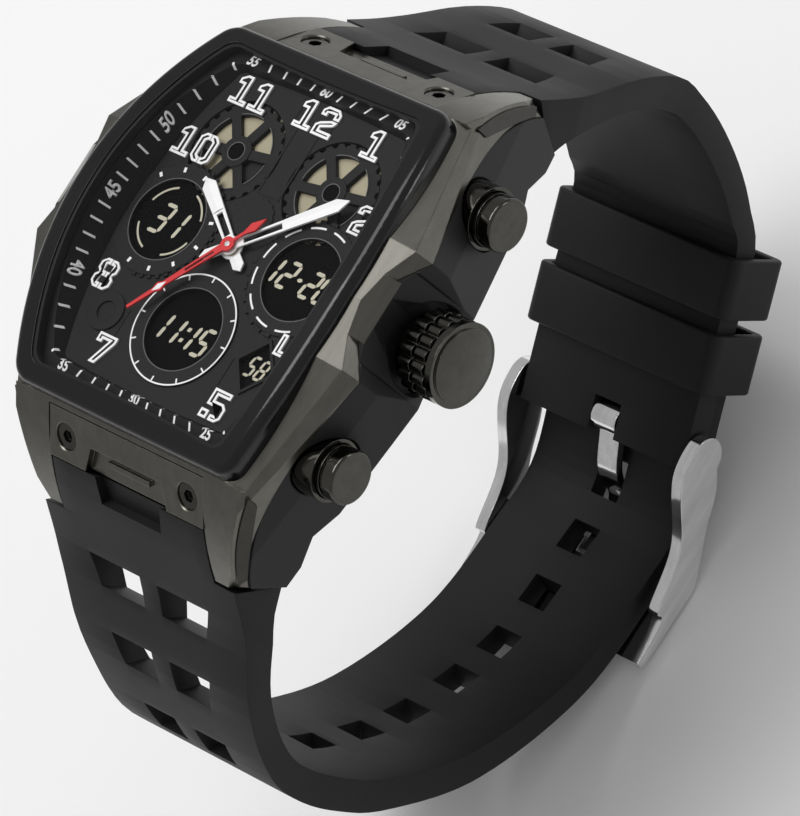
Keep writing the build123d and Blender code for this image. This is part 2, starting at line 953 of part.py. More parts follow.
def dial_gear(x, y):
    low = -dial_thickness - gear_thickness
    wheel = slab(gear_outline(gear_root_radius, gear_tip_radius, gear_teeth), low, -gear_recess)
    wheel = wheel - z_rod(gear_window_radius, low, 0)
    for turn in range(gear_spokes // 2):
        spoke = Box(2 * gear_window_radius + gear_spoke_width / 2, gear_spoke_width, -gear_recess - low)
        lifted = Pos(0, 0, (low - gear_recess) / 2) * spoke
        wheel = wheel + Rot(0, 0, gear_turn + 180 * (2 * turn + 1) / gear_spokes) * lifted
    wheel = wheel + z_rod(gear_hub_radius, low, 0)
    wheel = wheel - z_rod(gear_hole_radius, -gear_hole_depth, 0)
    return Pos(x, y, 0) * wheel


def subdial_ring(x, y):
    """Ring around a round display, cut off where it meets the flange."""
    room = flange_opening(inside_fit)
    return z_ring(subdial_radius, lcd_radius, 0, subdial_rise, x, y) & slab(room, 0, subdial_rise)


def diamond_frame():
    return slab(diamond(diamond_frame_width), 0, diamond_rise) - slab(diamond(), 0, diamond_rise)


def centre_gear():
    wheel = gear_outline(centre_gear_radius - centre_gear_rise, centre_gear_radius, centre_gear_teeth)
    wheel = slab(Pos(0, centre_gear_y, 0) * wheel, 0, centre_gear_rise)
    for x, y in gear_places():
        wheel = wheel - z_rod(gear_tip_radius + gear_clear, 0, z_span, x, y)
    return wheel - z_rod(hour_hub_radius, 0, z_span)


def lance(length, width, tail):
    """Outline of a hand that widens away from its hub, both to its short point and along its tail."""
    point_share = 0.9
    waist_share = 0.35
    tail_share = 0.4
    belly_share = 0.8
    return make_face(
        Polyline(
            (-width * waist_share, 0),
            (-width * tail_share, -tail * belly_share),
            (0, -tail),
            (width * tail_share, -tail * belly_share),
            (width * waist_share, 0),
            (width / 2, length * point_share),
            (0, length),
            (-width / 2, length * point_share),
            close=True,
        )
    )


def sword_hand(length, width, tail, hub_radius, bore_radius, low, slot_end, angle):
    """Lance-shaped hand with a slot beside the hub."""
    body = slab(lance(length, width, tail), low, low + hand_thickness)
    body = body - block(-slot_half_width, slot_half_width, slot_start, slot_end, low, low + hand_thickness)
    body = body + z_rod(hub_radius, low, low + hand_thickness)
    body = body - z_rod(bore_radius, low, low + hand_thickness)
    return Rot(0, 0, -angle) * body


def hour_hand():
    return sword_hand(
        hour_length,
        hour_width,
        hour_tail,
        hour_hub_radius,
        hour_pipe_radius,
        hour_hand_z,
        hour_slot_end,
        hour_angle,
    )


def minute_hand():
    low = hour_hand_z + hand_step
    return sword_hand(
        minute_length,
        minute_width,
        minute_tail,
        minute_hub_radius,
        minute_pipe_radius,
        low,
        minute_slot_end,
        minute_angle,
    )


def kite(place, half_length, width):
    """Four-pointed outline on the seconds hand's line."""
    return make_face(
        Polyline(
            (0, place - half_length),
            (width / 2, place),
            (0, place + half_length),
            (-width / 2, place),
            close=True,
        )
    )


def second_hand():
    low = hour_hand_z + 2 * hand_step
    high = low + hand_thickness
    needle = make_face(
        Polyline(
            (-second_width / 2, 0),
            (second_width / 2, 0),
            (second_tip_width / 2, second_length),
            (-second_tip_width / 2, second_length),
            close=True,
        )
    )
    body = slab(needle, low, high)
    body = body + slab(kite(second_lozenge_at, second_lozenge_half, second_lozenge_width), low, high)
    body = body + slab(kite(-second_tail * 2 / 3, second_tail / 3, second_tail_width), low, high)
    body = body + block(-second_tip_width / 2, second_tip_width / 2, -second_tail / 2, 0, low, high)
    body = body + z_rod(second_hub_radius, low, high)
    slot_half = second_slot_width / 2
    body = body - block(-slot_half, slot_half, second_slot_start, second_slot_end, low, high)
    body = body - z_rod(second_arbor_radius, low, high)
    return Rot(0, 0, -second_angle) * body


def hour_wheel():
    return z_ring(hour_pipe_radius, hour_pipe_bore, hour_pipe_foot, hour_hand_z + hand_thickness)


def cannon_pinion():
    top = hour_hand_z + hand_step + hand_thickness
    return z_ring(minute_pipe_radius, minute_pipe_bore, minute_pipe_foot, top)


def second_arbor():
    return z_rod(second_arbor_radius, second_arbor_foot, hour_hand_z + 2 * hand_step + hand_thickness)


def pusher_pocket(y):
    low = pusher_z - pocket_half
    return block(pocket_inner_x, far, y - pocket_half, y + pocket_half, low, pusher_z + pocket_half)


def lever_pocket():
    return block(
        lever_pocket_x, lever_pocket_outer_x, -lever_pocket_y, lever_pocket_y, crown_z - lever_pocket_z,
        crown_z + lever_pocket_z,
    )


def movement_holder():
    ring = slab(bore_outline(inside_fit), holder_foot_z, -dial_thickness)
    ring = ring - slab(module_outline(), -z_span, z_span)
    for y in (pusher_y, -pusher_y):
        ring = ring - pusher_pocket(y)
    ring = ring - lever_pocket()
    return ring - x_rod(holder_stem_hole, 0, far, 0, crown_z)


def movement_module():
    body = slab(module_outline(inside_fit), module_foot_z, module_top_z)
    body = body - z_rod(arbor_hole_radius, second_arbor_foot - inside_fit, 0)
    body = body - lever_pocket()
    body = body - x_rod(holder_stem_hole, stem_foot_x - lever_fit - inside_fit, far, 0, crown_z)
    for y in (pusher_y, -pusher_y):
        body = body - pusher_pocket(y)
    seat = block(-far, far, zebra_y - zebra_width, zebra_y + zebra_width, module_top_z, z_span)
    upper = slab(module_outline(inside_fit), module_top_z, -dial_thickness - lcd_thickness)
    upper = upper - seat - z_rod(arbor_hole_radius, -z_span, 0)
    return body + upper


def circuit_board():
    return slab(module_outline(inside_fit), module_foot_z - board_thickness, module_foot_z)


def battery():
    top = module_foot_z - board_thickness
    return z_rod(battery_radius, top - battery_height, top, 0, battery_y)


def battery_clip():
    """Strip across the battery with two feet on the circuit board."""
    top = module_foot_z - board_thickness - battery_height
    reach = battery_radius + 2 * battery_clip_thickness
    half = battery_clip_width / 2
    low = top - battery_clip_thickness
    strip = block(-reach, reach, battery_y - half, battery_y + half, low, top)
    for side in (-1, 1):
        foot = side * (reach - battery_clip_thickness / 2)
        thick = battery_clip_thickness / 2
        strip = strip + block(foot - thick, foot + thick, battery_y - half, battery_y + half, low,
                              top + battery_height)
    return strip


def stepper_coil():
    z = module_foot_z - board_thickness - coil_end_radius
    start = coil_x - coil_length / 2
    end = coil_x + coil_length / 2
    wound = x_rod(coil_radius, start, end, coil_y, z)
    caps = x_rod(coil_end_radius, start, start + coil_end_length, coil_y, z)
    return wound + caps + x_rod(coil_end_radius, end - coil_end_length, end, coil_y, z)


def buzzer():
    low = case_bottom_z + back_plug_height
    return z_rod(buzzer_radius, low, low + buzzer_thickness, buzzer_x, buzzer_y)


def buzzer_spring():
    low = case_bottom_z + back_plug_height + buzzer_thickness
    high = module_foot_z - board_thickness
    return z_ring(buzzer_spring_radius, buzzer_spring_bore, low, high, buzzer_x, buzzer_y)


def lcd_connector():
    half = zebra_length / 2
    return block(-half, half, zebra_y - zebra_width / 2, zebra_y + zebra_width / 2, module_top_z,
                 -dial_thickness - lcd_thickness)


def back_outline(grow=0.0):
    return tonneau(
        back_corner_x + grow, back_corner_y + grow, back_side_x + grow, back_end_y + grow, back_corner_radius
    )


def back_gasket():
    ring = bore_outline(back_gasket_inset + inside_fit) - bore_outline(back_gasket_inset + back_gasket_width)
    top = case_bottom_z + back_plug_height
    return slab(ring, top - back_gasket_height, top)


def case_back():
    plate = slab(back_outline(), back_face_z, case_bottom_z)
    plug = slab(bore_outline(inside_fit), case_bottom_z, case_bottom_z + back_plug_height)
    plate = plate + plug - back_gasket()
    plate = plate - z_ring(back_step_radius, back_step_radius - back_step_depth, back_face_z,
                           back_face_z + back_step_depth)
    for x in (back_screw_x, -back_screw_x):
        for y in (back_screw_y, -back_screw_y):
            plate = plate - z_rod(back_screw_shank, back_face_z, case_bottom_z, x, y)
            plate = plate - z_rod(back_screw_head, back_face_z, back_face_z + back_screw_head_height, x, y)
    return plate


def case_back_screws():
    screws = []
    for x in (back_screw_x, -back_screw_x):
        for y in (back_screw_y, -back_screw_y):
            low = back_face_z + slot_depth
            head = z_rod(back_screw_head, low, back_face_z + back_screw_head_height, x, y)
            shank = z_rod(back_screw_shank, low, case_bottom_z + back_screw_length, x, y)
            slot = block(
                x - back_screw_head,
                x + back_screw_head,
                y - slot_width / 2,
                y + slot_width / 2,
                low,
                low + slot_depth,
            )
            screws.append(head + shank - slot)
    return group(screws)


def crown_tube():
    return x_ring(tube_radius, tube_bore_radius, tube_inner_x, tube_outer_x, 0, crown_z)


def crown():
    """Crown with two rows of round ribs, a plain edge and a low dome."""
    length = crown_outer_x - crown_inner_x
    groove_shares = (0.38, 0.78)
    ribbed_end = crown_inner_x + groove_shares[1] * length
    body = x_rod(crown_core_radius, crown_inner_x, crown_outer_x, 0, crown_z)
    body = body + x_rod(crown_radius, ribbed_end, crown_outer_x, 0, crown_z)
    body = body + x_rod(crown_collar_radius, crown_inner_x - crown_collar_length, crown_inner_x, 0, crown_z)
    for rib in range(crown_ribs):
        bead = x_rod(crown_rib_radius, crown_inner_x, ribbed_end, 0, crown_radius - crown_rib_radius)
        body = body + Pos(0, 0, crown_z) * Rot(360 * rib / crown_ribs, 0, 0) * bead
    ball_radius = (crown_radius**2 + crown_dome**2) / (2 * crown_dome)
    ball = Pos(crown_outer_x + crown_dome - ball_radius, 0, crown_z) * Sphere(ball_radius)
    dome_end = crown_outer_x + 2 * crown_dome
    dome = x_rod(crown_radius - crown_rim_width, crown_inner_x, dome_end, 0, crown_z) & ball
    body = body + dome
    for share in groove_shares:
        middle = crown_inner_x + share * length
        body = body - x_ring(2 * crown_radius, crown_groove_radius, middle - crown_groove_width / 2,
                             middle + crown_groove_width / 2, 0, crown_z)
    bore_start = crown_inner_x - crown_collar_length
    return body - x_rod(crown_bore_radius, bore_start, crown_inner_x + crown_bore_depth, 0, crown_z)


def stem():
    rod = x_rod(stem_radius, stem_foot_x, crown_inner_x + crown_bore_depth, 0, crown_z)
    groove_end = stem_groove_x + stem_groove_width
    return rod - x_ring(stem_radius, stem_groove_radius, stem_groove_x, groove_end, 0, crown_z)


def crown_gasket():
    bore = tube_radius + crown_gasket_gap
    return x_ring(crown_bore_radius, bore, crown_gasket_x, crown_gasket_x + crown_gasket_width, 0, crown_z)


def setting_lever():
    """Fork that rides in the stem's groove."""
    low = stem_groove_x + lever_fit
    high = stem_groove_x + stem_groove_width - lever_fit
    half = lever_width / 2
    plate = block(low, high, -half, half, crown_z - lever_height / 2, crown_z + lever_height / 2)
    mouth = stem_groove_radius + crown_gasket_gap
    plate = plate - x_rod(mouth, low, high, 0, crown_z)
    return plate - block(low, high, -mouth, mouth, crown_z - lever_height, crown_z)


def pusher_tube(y):
    collar = x_rod(collar_radius, collar_inner_x, collar_outer_x, y, pusher_z)
    collar = collar - x_rod(collar_bore_radius, collar_floor_x, collar_outer_x, y, pusher_z)
    body = collar + x_rod(pusher_tube_radius, pusher_tube_inner_x, collar_inner_x, y, pusher_z)
    return body - x_rod(pusher_bore_radius, 0, far, y, pusher_z)


def pusher(y):
    inner = pusher_outer_x - pusher_cap_length
    cap = x_rod(pusher_cap_radius, inner, pusher_outer_x, y, pusher_z)
    edge = cap.faces().sort_by(Axis.X)[-1].edges()
    cap = fillet(edge, pusher_edge)
    groove = pusher_outer_x - pusher_groove_at
    groove_foot = pusher_cap_radius - pusher_groove_depth
    cap = cap - x_ring(pusher_cap_radius, groove_foot, groove - pusher_groove_width, groove, y, pusher_z)
    cap = cap - x_rod(pusher_hollow_radius, inner, inner + pusher_hollow_depth, y, pusher_z)
    rod = x_rod(pusher_stem_radius, pusher_stem_foot_x, inner + pusher_hollow_depth, y, pusher_z)
    clip_seat = x_ring(pusher_stem_radius, clip_bore_radius, clip_x, clip_x + clip_thickness, y, pusher_z)
    gasket_seat = x_ring(pusher_stem_radius, pusher_groove_radius, pusher_gasket_x,
                         pusher_gasket_x + pusher_gasket_width, y, pusher_z)
    return cap + rod - clip_seat - gasket_seat


def pusher_clip(y):
    return x_ring(clip_radius, clip_bore_radius, clip_x, clip_x + clip_thickness, y, pusher_z)


def pusher_gasket(y):
    return x_ring(pusher_gasket_radius, pusher_groove_radius, pusher_gasket_x,
                  pusher_gasket_x + pusher_gasket_width, y, pusher_z)


def pusher_spring(y):
    end = pusher_outer_x - pusher_cap_length + pusher_hollow_depth
    return x_ring(spring_radius, spring_radius - spring_wall, collar_floor_x, end, y, pusher_z)


def loop_points(shares):
    return [(0, y * loop_reach, z * loop_drop) for y, z in shares]


def end_point(along, depth):
    """Point on the straight end: along it from its start, and outward from its inner face."""
    angle = math.radians(end_angle)
    y = end_start_shares[0] * loop_reach - along * math.cos(angle) + depth * math.sin(angle)
    z = end_start_shares[1] * loop_drop - along * math.sin(angle) - depth * math.cos(angle)
    return (0, y, z)


def end_place(along, depth):
    """Place on the straight end, x along the strap towards the lug and z outward."""
    angle = math.radians(end_angle)
    outward = (0, math.sin(angle), -math.cos(angle))
    return Plane(origin=end_point(along, depth), x_dir=(0, math.cos(angle), math.sin(angle)), z_dir=outward)


def strap_section(outer, inner, sign, width):
    """Solid between two lines of the side view, closed at the block between the lugs."""
    block_points = [
        (0, sign * strap_inner_start_y, strap_inner_start_z),
        (0, sign * strap_block_y, strap_block_foot_z),
        (0, sign * strap_block_y, strap_block_top_z),
        (0, sign * strap_block_out_y, strap_block_top_z),
        (0, sign * strap_heel_y, strap_heel_z),
    ]
    close = [Line(inner[0] @ 0, block_points[0])]
    for start, end in zip(block_points, block_points[1:]):
        close.append(Line(start, end))
    close.append(Line(block_points[-1], outer[0] @ 0))
    close.append(Line(outer[-1] @ 1, inner[-1] @ 1))
    face = make_face(Wire(list(outer) + list(inner) + close))
    return Pos(-width, 0, 0) * extrude(face, amount=2 * width, dir=(1, 0, 0))


def width_prism(low_half_width):
    """Front view of a strap, wide at the lugs and parallel lower down."""
    side = [(share * strap_half_width, drop * loop_drop) for share, drop in strap_width_shares]
    side = [(max(x, low_half_width), z) for x, z in side]
    right = [(strap_half_width, 0)] + side + [(low_half_width, -loop_drop - z_span)]
    left = [(-x, z) for x, z in reversed(right)]
    face = make_face(Polyline(*[(x, 0, z) for x, z in right + left], close=True))
    return Pos(0, -far, 0) * extrude(face, amount=2 * far, dir=(0, 1, 0))


def lug_room(sign):
    """Space that the two lug arms take beside the strap's end."""
    gap = lug_end_gap
    points = [
        (sign * (strap_block_y - gap), lug_bottom_z - gap),
        (sign * (lug_bottom_y + gap), lug_bottom_z - gap),
        (sign * (split_tip_y + gap), split_tip_z - gap),
        (sign * (lug_tip_y + gap), lug_tip_z),
        (sign * (lug_tip_y + gap), 0),
        (sign * (strap_block_y - gap), 0),
    ]
    return [side_prism(points, strap_in_lugs_x, far), side_prism(points, -far, -strap_in_lugs_x)]


def windows(sign):
    cutters = []
    for row in range(len(window_x)):
        lean = math.radians(window_lean[row])
        normal = (0, sign * math.cos(lean), math.sin(lean))
        _, y, z = loop_points(outer_6_shares)[row + 1]
        place = Plane(origin=(0, -sign * y, z), x_dir=(1, 0, 0), z_dir=normal)
        down = place.y_dir.Z < 0
        top_y = -window_length / 2 if down else window_length / 2
        for side in (-1, 1):
            inner_x = window_x[row] - window_half_wide[row]
            face = make_face(
                Polyline(
                    (side * inner_x, top_y),
                    (side * (inner_x + 2 * window_half_wide[row]), top_y),
                    (side * (inner_x + 2 * window_half_narrow[row]), -top_y),
                    (side * inner_x, -top_y),
                    close=True,
                )
            )
            cutters.append(
                extrude(place * Pos(0, 0, -window_through / 2) * face, amount=window_through, dir=normal)
            )
    return cutters


def strap_pocket(sign):
    """Shallow trapezoid under the end plate's channel."""
    start = Vector(0, sign * strap_heel_y, strap_heel_z)
    end = Vector(0, sign * outer_12_shares[0][0] * loop_reach, outer_12_shares[0][1] * loop_drop)
    direction = (end - start).normalized()
    place = Plane(origin=start, x_dir=(1, 0, 0), z_dir=Vector(1, 0, 0).cross(direction) * sign)
    run = strap_pocket_length if place.y_dir.dot(direction) > 0 else -strap_pocket_length
    narrow_share = 0.85
    face = make_face(
        Polyline(
            (-strap_pocket_x, -run / 2),
            (strap_pocket_x, -run / 2),
            (strap_pocket_x * narrow_share, run),
            (-strap_pocket_x * narrow_share, run),
            close=True,
        )
    )
    return extrude(place * face, amount=strap_pocket_depth, both=True)


def finish_strap(strap, sign):
    for cutter in lug_room(sign) + windows(sign):
        strap = strap - cutter
    strap = strap - strap_pocket(sign)
    bar = spring_bar_radius + spring_bar_fit
    return strap - x_rod(bar, -far, far, sign * spring_bar_y, spring_bar_z)


def strap_12_lines():
    straight_end = end_point(0, end_thickness)
    outer_line = Spline(*loop_points(outer_12_shares + outer_12_low_shares), straight_end)
    inner_line = Spline(*loop_points(inner_12_shares), end_point(0, 0))
    outer = [outer_line, Line(straight_end, end_point(end_length, end_thickness))]
    inner = [inner_line, Line(end_point(0, 0), end_point(end_length, 0))]
    return outer, inner


def strap_12():
    outer, inner = strap_12_lines()
    strap = strap_section(outer, inner, 1, far) & width_prism(end_half_width)
    strap = finish_strap(strap, 1)
    bar = end_place(bar_along, bar_depth)
    strap = strap - x_rod(bar_radius, -far, far, bar.origin.Y, bar.origin.Z)
    slot_centre = end_place(end_length, 0)
    slot = Box(2 * tongue_slot_length, 2 * tongue_slot_half, far)
    return strap - slot_centre * slot


def strap_6_lines():
    tail_outer = tail_gap + end_thickness + tail_thickness
    tail_inner = tail_gap + end_thickness
    straight_outer = end_point(tail_start, tail_outer)
    straight_inner = end_point(tail_start, tail_inner)
    angle = math.radians(end_angle)
    along = (0, math.cos(angle), math.sin(angle))
    outer_points = loop_points(outer_6_shares + outer_6_low_shares)
    inner_points = loop_points(inner_6_shares + inner_6_low_shares)
    outer = [Spline(*outer_points, straight_outer), Line(straight_outer, end_point(tail_end, tail_outer))]
    inner = [Spline(*inner_points, straight_inner), Line(straight_inner, end_point(tail_end, tail_inner))]
    return outer, inner


def tongue_holes():
    outer, inner = strap_6_lines()
    line = inner[0]
    cutters = []
    start = line.length * hole_start_share
    with BuildSketch() as square:
        Rectangle(hole_side, hole_side)
        fillet(square.vertices(), hole_round)
    for hole in range(hole_count):
        share = (start - hole * hole_pitch) / line.length
        point = line @ share
        tangent = line % share
        normal = Vector(1, 0, 0).cross(tangent)
        place = Plane(origin=point, x_dir=(1, 0, 0), z_dir=normal)
        cutters.append(extrude(place * square.sketch, amount=hole_through / 2, both=True))
    return cutters


def strap_6():
    outer, inner = strap_6_lines()
    strap = strap_section(outer, inner, -1, far) & width_prism(tail_half_width)
    strap = finish_strap(strap, -1)
    for cutter in tongue_holes():
        strap = strap - cutter
    return strap


def spring_bar(y):
    body = x_rod(spring_bar_radius, -lug_arm_x, lug_arm_x, y, spring_bar_z)
    reach = lug_arm_x + spring_bar_tip
    return body + x_rod(spring_bar_tip_radius, -reach, reach, y, spring_bar_z)


def keeper(at):
    middle = (end_thickness + tail_gap + tail_thickness) / 2
    place = end_place(at, middle)
    outer = Box(keeper_length, 2 * keeper_half_width, keeper_thickness)
    outer = fillet(outer.edges().filter_by(Axis.X), keeper_round)
    inner = Box(keeper_length, 2 * keeper_inner_half_width, keeper_thickness - 2 * keeper_wall)
    return place * (outer - inner)


def bar_centre():
    return end_point(bar_along, bar_depth)


def buckle_bar():
    _, y, z = bar_centre()
    return x_rod(bar_radius, -bar_half_length, bar_half_length, y, z)


def plate_points():
    """Corners of the buckle's cross plate, from the bar's side: two on top and two below."""
    _, y, z = bar_centre()
    near = y - plate_near_reach
    end = y - plate_far_reach
    foot = buckle_plate_top_z - buckle_plate_thickness
    top = buckle_plate_top_z
    return (near, top), (end, top + plate_rise), (end, foot + plate_rise), (near, foot)


def buckle_arm():
    """Blade beside the strap, from the eye round the bar to the cross plate's far edge."""
    _, y, z = bar_centre()
    _, tip, tip_foot, foot = plate_points()
    drop = z - foot[1]

    def places(shares):
        return [(0, y + along * plate_far_reach, z + down * drop) for along, down in shares]

    corner = (0, *foot)
    level = (0, -1, 0)
    upper = Spline((0, y, z + eye_radius), *places(arm_upper_shares), (0, *tip), tangents=[level, level])
    lower = Spline((0, y, z - eye_radius), *places(arm_lower_shares), corner)
    edges = [upper, Line((0, *tip), (0, *tip_foot)), Line((0, *tip_foot), corner), lower]
    edges.append(Line((0, y, z - eye_radius), (0, y, z + eye_radius)))
    side = make_face(Wire(edges))
    arm = Pos(arm_inner_x, 0, 0) * extrude(side, amount=arm_outer_x - arm_inner_x, dir=(1, 0, 0))
    return arm + x_rod(eye_radius, arm_inner_x, arm_outer_x, y, z)


def buckle_frame():
    _, y, z = bar_centre()
    arm = buckle_arm()
    plate = side_prism(plate_points(), -arm_outer_x, arm_outer_x)
    notch_end = y - tongue_notch_reach
    plate = plate - block(-tongue_notch_half, tongue_notch_half, notch_end, far, -2 * loop_drop, 0)
    frame = plate + arm + mirror(arm, Plane.YZ)
    hole_end = bar_half_length + bar_end_gap
    return frame - x_rod(bar_radius + bar_fit, -hole_end, hole_end, y, z)


def buckle_tongue():
    _, y, z = bar_centre()
    curl = x_rod(tongue_curl_radius, -tongue_curl_half, tongue_curl_half, y, z)
    hole_y = tongue_hole_centre().Y
    hole_z = tongue_hole_centre().Z
    thick = tongue_thickness
    tip_z = buckle_plate_top_z - buckle_plate_thickness / 2
    line = Spline(
        (0, y - thick, z - thick),
        (0, hole_y + thick / 3, hole_z),
        (0, hole_y - thick / 2, buckle_plate_top_z + thick / 2),
        (0, hole_y - thick * tongue_bend_share, tip_z),
        (0, y - tongue_notch_reach + thick / 2, tip_z),
        tangents=[(0, -1, -1), (0, -1, 0)],
    )
    start = Plane(origin=line @ 0, z_dir=line % 0, x_dir=(1, 0, 0))
    strip = sweep(start * Rectangle(2 * tongue_half_width, thick), path=line)
    blade = curl + strip
    return blade - x_rod(bar_radius + bar_fit, -far, far, y, z)


def tongue_hole_centre():
    outer, inner = strap_6_lines()
    return inner[0] @ hole_start_share


def build_case():
    save(mid_case(), "mid_case")
    save(bezel(), "bezel")
    save(crystal_rim(), "crystal_rim")
    save(crystal(), "crystal")
    save(crystal_gasket(), "crystal_gasket")
    save(case_back(), "case_back")
    save(back_gasket(), "case_back_gasket")
    save(case_back_screws(), "case_back_screws")
    plates = both_ends(end_plate())
    save(plates[0], "end_plate_12")
    save(plates[1], "end_plate_6")
    screws = [plate_screw(side) for side in (-1, 1)]
    turned = [Rot(0, 0, 180) * screw for screw in screws]
    save(group(screws + turned), "end_plate_screws")
    save(group(inlays()), "lug_inlays")


def build_dial():
    save(chapter_ring(), "chapter_ring")
    save(dial_plate(), "dial_plate")
    save(gear_backplate(), "gear_backplate")
    for node, (x, y) in zip(("dial_gear_left", "dial_gear_right"), gear_places()):
        save(dial_gear(x, y), node)
    save(centre_gear(), "centre_gear")
    save(lcd_panel(), "lcd_panel")
    save(group(subdial_ring(x, y) for x, y in lcd_places()), "subdial_rings")
    save(diamond_frame(), "diamond_frame")
    save(hour_hand(), "hour_hand")
    save(minute_hand(), "minute_hand")
    save(second_hand(), "second_hand")
    save(hour_wheel(), "hour_wheel")
    save(cannon_pinion(), "cannon_pinion")
    save(second_arbor(), "second_arbor")


def build_movement():
    save(movement_holder(), "movement_holder")
    save(movement_module(), "movement_module")
    save(circuit_board(), "circuit_board")
    save(battery(), "battery")
    save(battery_clip(), "battery_clip")
    save(stepper_coil(), "stepper_coil")
    save(buzzer(), "buzzer")
    save(buzzer_spring(), "buzzer_spring")
    save(lcd_connector(), "lcd_connector")


def build_controls():
    save(crown_tube(), "crown_tube")
    save(crown(), "crown")
    save(stem(), "stem")
    save(crown_gasket(), "crown_gasket")
    save(setting_lever(), "setting_lever")
    save(group(pusher_tube(y) for y in (pusher_y, -pusher_y)), "pusher_tubes")
    for number, y in ((2, pusher_y), (4, -pusher_y)):
        save(pusher(y), f"pusher_{number}")
        save(pusher_clip(y), f"pusher_clip_{number}")
        save(pusher_gasket(y), f"pusher_gasket_{number}")
        save(pusher_spring(y), f"pusher_spring_{number}")


def build_strap():
    save(strap_12(), "strap_12")
    save(strap_6(), "strap_6")
    save(spring_bar(spring_bar_y), "spring_bar_12")
    save(spring_bar(-spring_bar_y), "spring_bar_6")
    save(keeper(keeper_fixed_at), "keeper_fixed")
    save(keeper(keeper_free_at), "keeper_free")
    save(buckle_bar(), "buckle_bar")
    save(buckle_frame(), "buckle_frame")
    save(buckle_tongue(), "buckle_tongue")


build_case()
build_dial()
build_movement()
build_controls()
build_strap()
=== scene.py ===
import json
import math

import bpy
from mathutils import Matrix, Vector


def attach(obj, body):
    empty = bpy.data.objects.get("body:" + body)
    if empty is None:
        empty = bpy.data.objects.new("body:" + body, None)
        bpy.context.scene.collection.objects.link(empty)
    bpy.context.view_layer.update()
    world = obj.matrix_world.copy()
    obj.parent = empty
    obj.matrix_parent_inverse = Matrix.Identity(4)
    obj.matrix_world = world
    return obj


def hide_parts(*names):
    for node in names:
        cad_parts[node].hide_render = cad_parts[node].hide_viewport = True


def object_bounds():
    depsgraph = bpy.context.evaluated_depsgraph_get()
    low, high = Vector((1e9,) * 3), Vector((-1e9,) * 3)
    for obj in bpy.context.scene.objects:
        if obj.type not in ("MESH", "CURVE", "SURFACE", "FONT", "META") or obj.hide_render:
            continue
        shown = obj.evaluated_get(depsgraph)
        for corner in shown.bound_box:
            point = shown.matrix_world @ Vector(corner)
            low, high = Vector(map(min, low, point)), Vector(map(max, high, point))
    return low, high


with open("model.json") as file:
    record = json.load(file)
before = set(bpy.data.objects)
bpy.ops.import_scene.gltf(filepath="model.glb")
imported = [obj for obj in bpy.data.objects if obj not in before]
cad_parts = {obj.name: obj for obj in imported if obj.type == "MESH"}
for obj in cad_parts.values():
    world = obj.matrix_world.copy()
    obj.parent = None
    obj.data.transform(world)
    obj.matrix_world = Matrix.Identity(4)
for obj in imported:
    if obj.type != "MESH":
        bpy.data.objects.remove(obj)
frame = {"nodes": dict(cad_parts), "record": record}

cad_low, cad_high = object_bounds()

MM = 0.001
DIAL_Z = 12.0
SMOOTH_ANGLE = math.radians(40)
FACES = (False, False, True)
EDGES = (False, True, False)


def watch_point(x, y, z):
    """A point in millimetres, its height measured from the dial, as metres in the part's frame."""
    return Vector((x, y, z + DIAL_Z)) * MM


def clear_selection():
    """Leave edit mode and deselect every object."""
    if bpy.context.object and bpy.context.object.mode != "OBJECT":
        bpy.ops.object.mode_set(mode="OBJECT")
    bpy.ops.object.select_all(action="DESELECT")


def take(obj):
    """Make one object the only selected and active one."""
    clear_selection()
    obj.select_set(True)
    bpy.context.view_layer.objects.active = obj


def edit(obj, select_mode):
    """Open one object in edit mode, to select its faces or its edges."""
    take(obj)
    bpy.context.tool_settings.mesh_select_mode = select_mode
    bpy.ops.object.mode_set(mode="EDIT")


def face_outwards():
    """In edit mode, select the whole piece and turn its faces outwards."""
    bpy.ops.mesh.select_all(action="SELECT")
    bpy.ops.mesh.normals_make_consistent(inside=False)


def smooth(obj):
    """Shade a piece smooth across its soft edges."""
    take(obj)
    bpy.ops.object.shade_smooth_by_angle(angle=SMOOTH_ANGLE)


# Materials

CLOUD_LOW = 0.3
CLOUD_HIGH = 0.7
EDGE_SAMPLES = 6
METAL_LINES = 900.0
METAL_CLOUDS = 70.0
METAL_LINE_DEPTH = 0.03
METAL_SHADES = (0.88, 1.12)
METAL_GLOSS = (0.88, 1.15)
PLAIN_CLOUDS = 60.0
PLAIN_GRAIN_DEPTH = 0.02
PLAIN_SHADES = (0.9, 1.1)
PLAIN_GLOSS = (0.93, 1.07)
GLASS_INDEX = 1.25
GLASS_SMEARS = 40.0
GLASS_ROUGHNESS = (0.015, 0.03)


def new_material(name):
    """Material with its node tree and its main shader."""
    material = bpy.data.materials.new(name)
    material.use_nodes = True
    tree = material.node_tree
    shader = tree.nodes["Principled BSDF"]
    return material, tree, shader


def object_coordinates(tree, stretch=(1, 1, 1)):
    """Places on the piece, scaled by one factor per axis."""
    source = tree.nodes.new("ShaderNodeTexCoord")
    mapping = tree.nodes.new("ShaderNodeMapping")
    mapping.inputs["Scale"].default_value = stretch
    tree.links.new(source.outputs["Object"], mapping.inputs["Vector"])
    return mapping.outputs["Vector"]


def noise(tree, vector, scale, detail=4.0, roughness=0.55):
    """Cloudy pattern."""
    node = tree.nodes.new("ShaderNodeTexNoise")
    node.inputs["Scale"].default_value = scale
    node.inputs["Detail"].default_value = detail
    node.inputs["Roughness"].default_value = roughness
    tree.links.new(vector, node.inputs["Vector"])
    return node.outputs["Fac"]


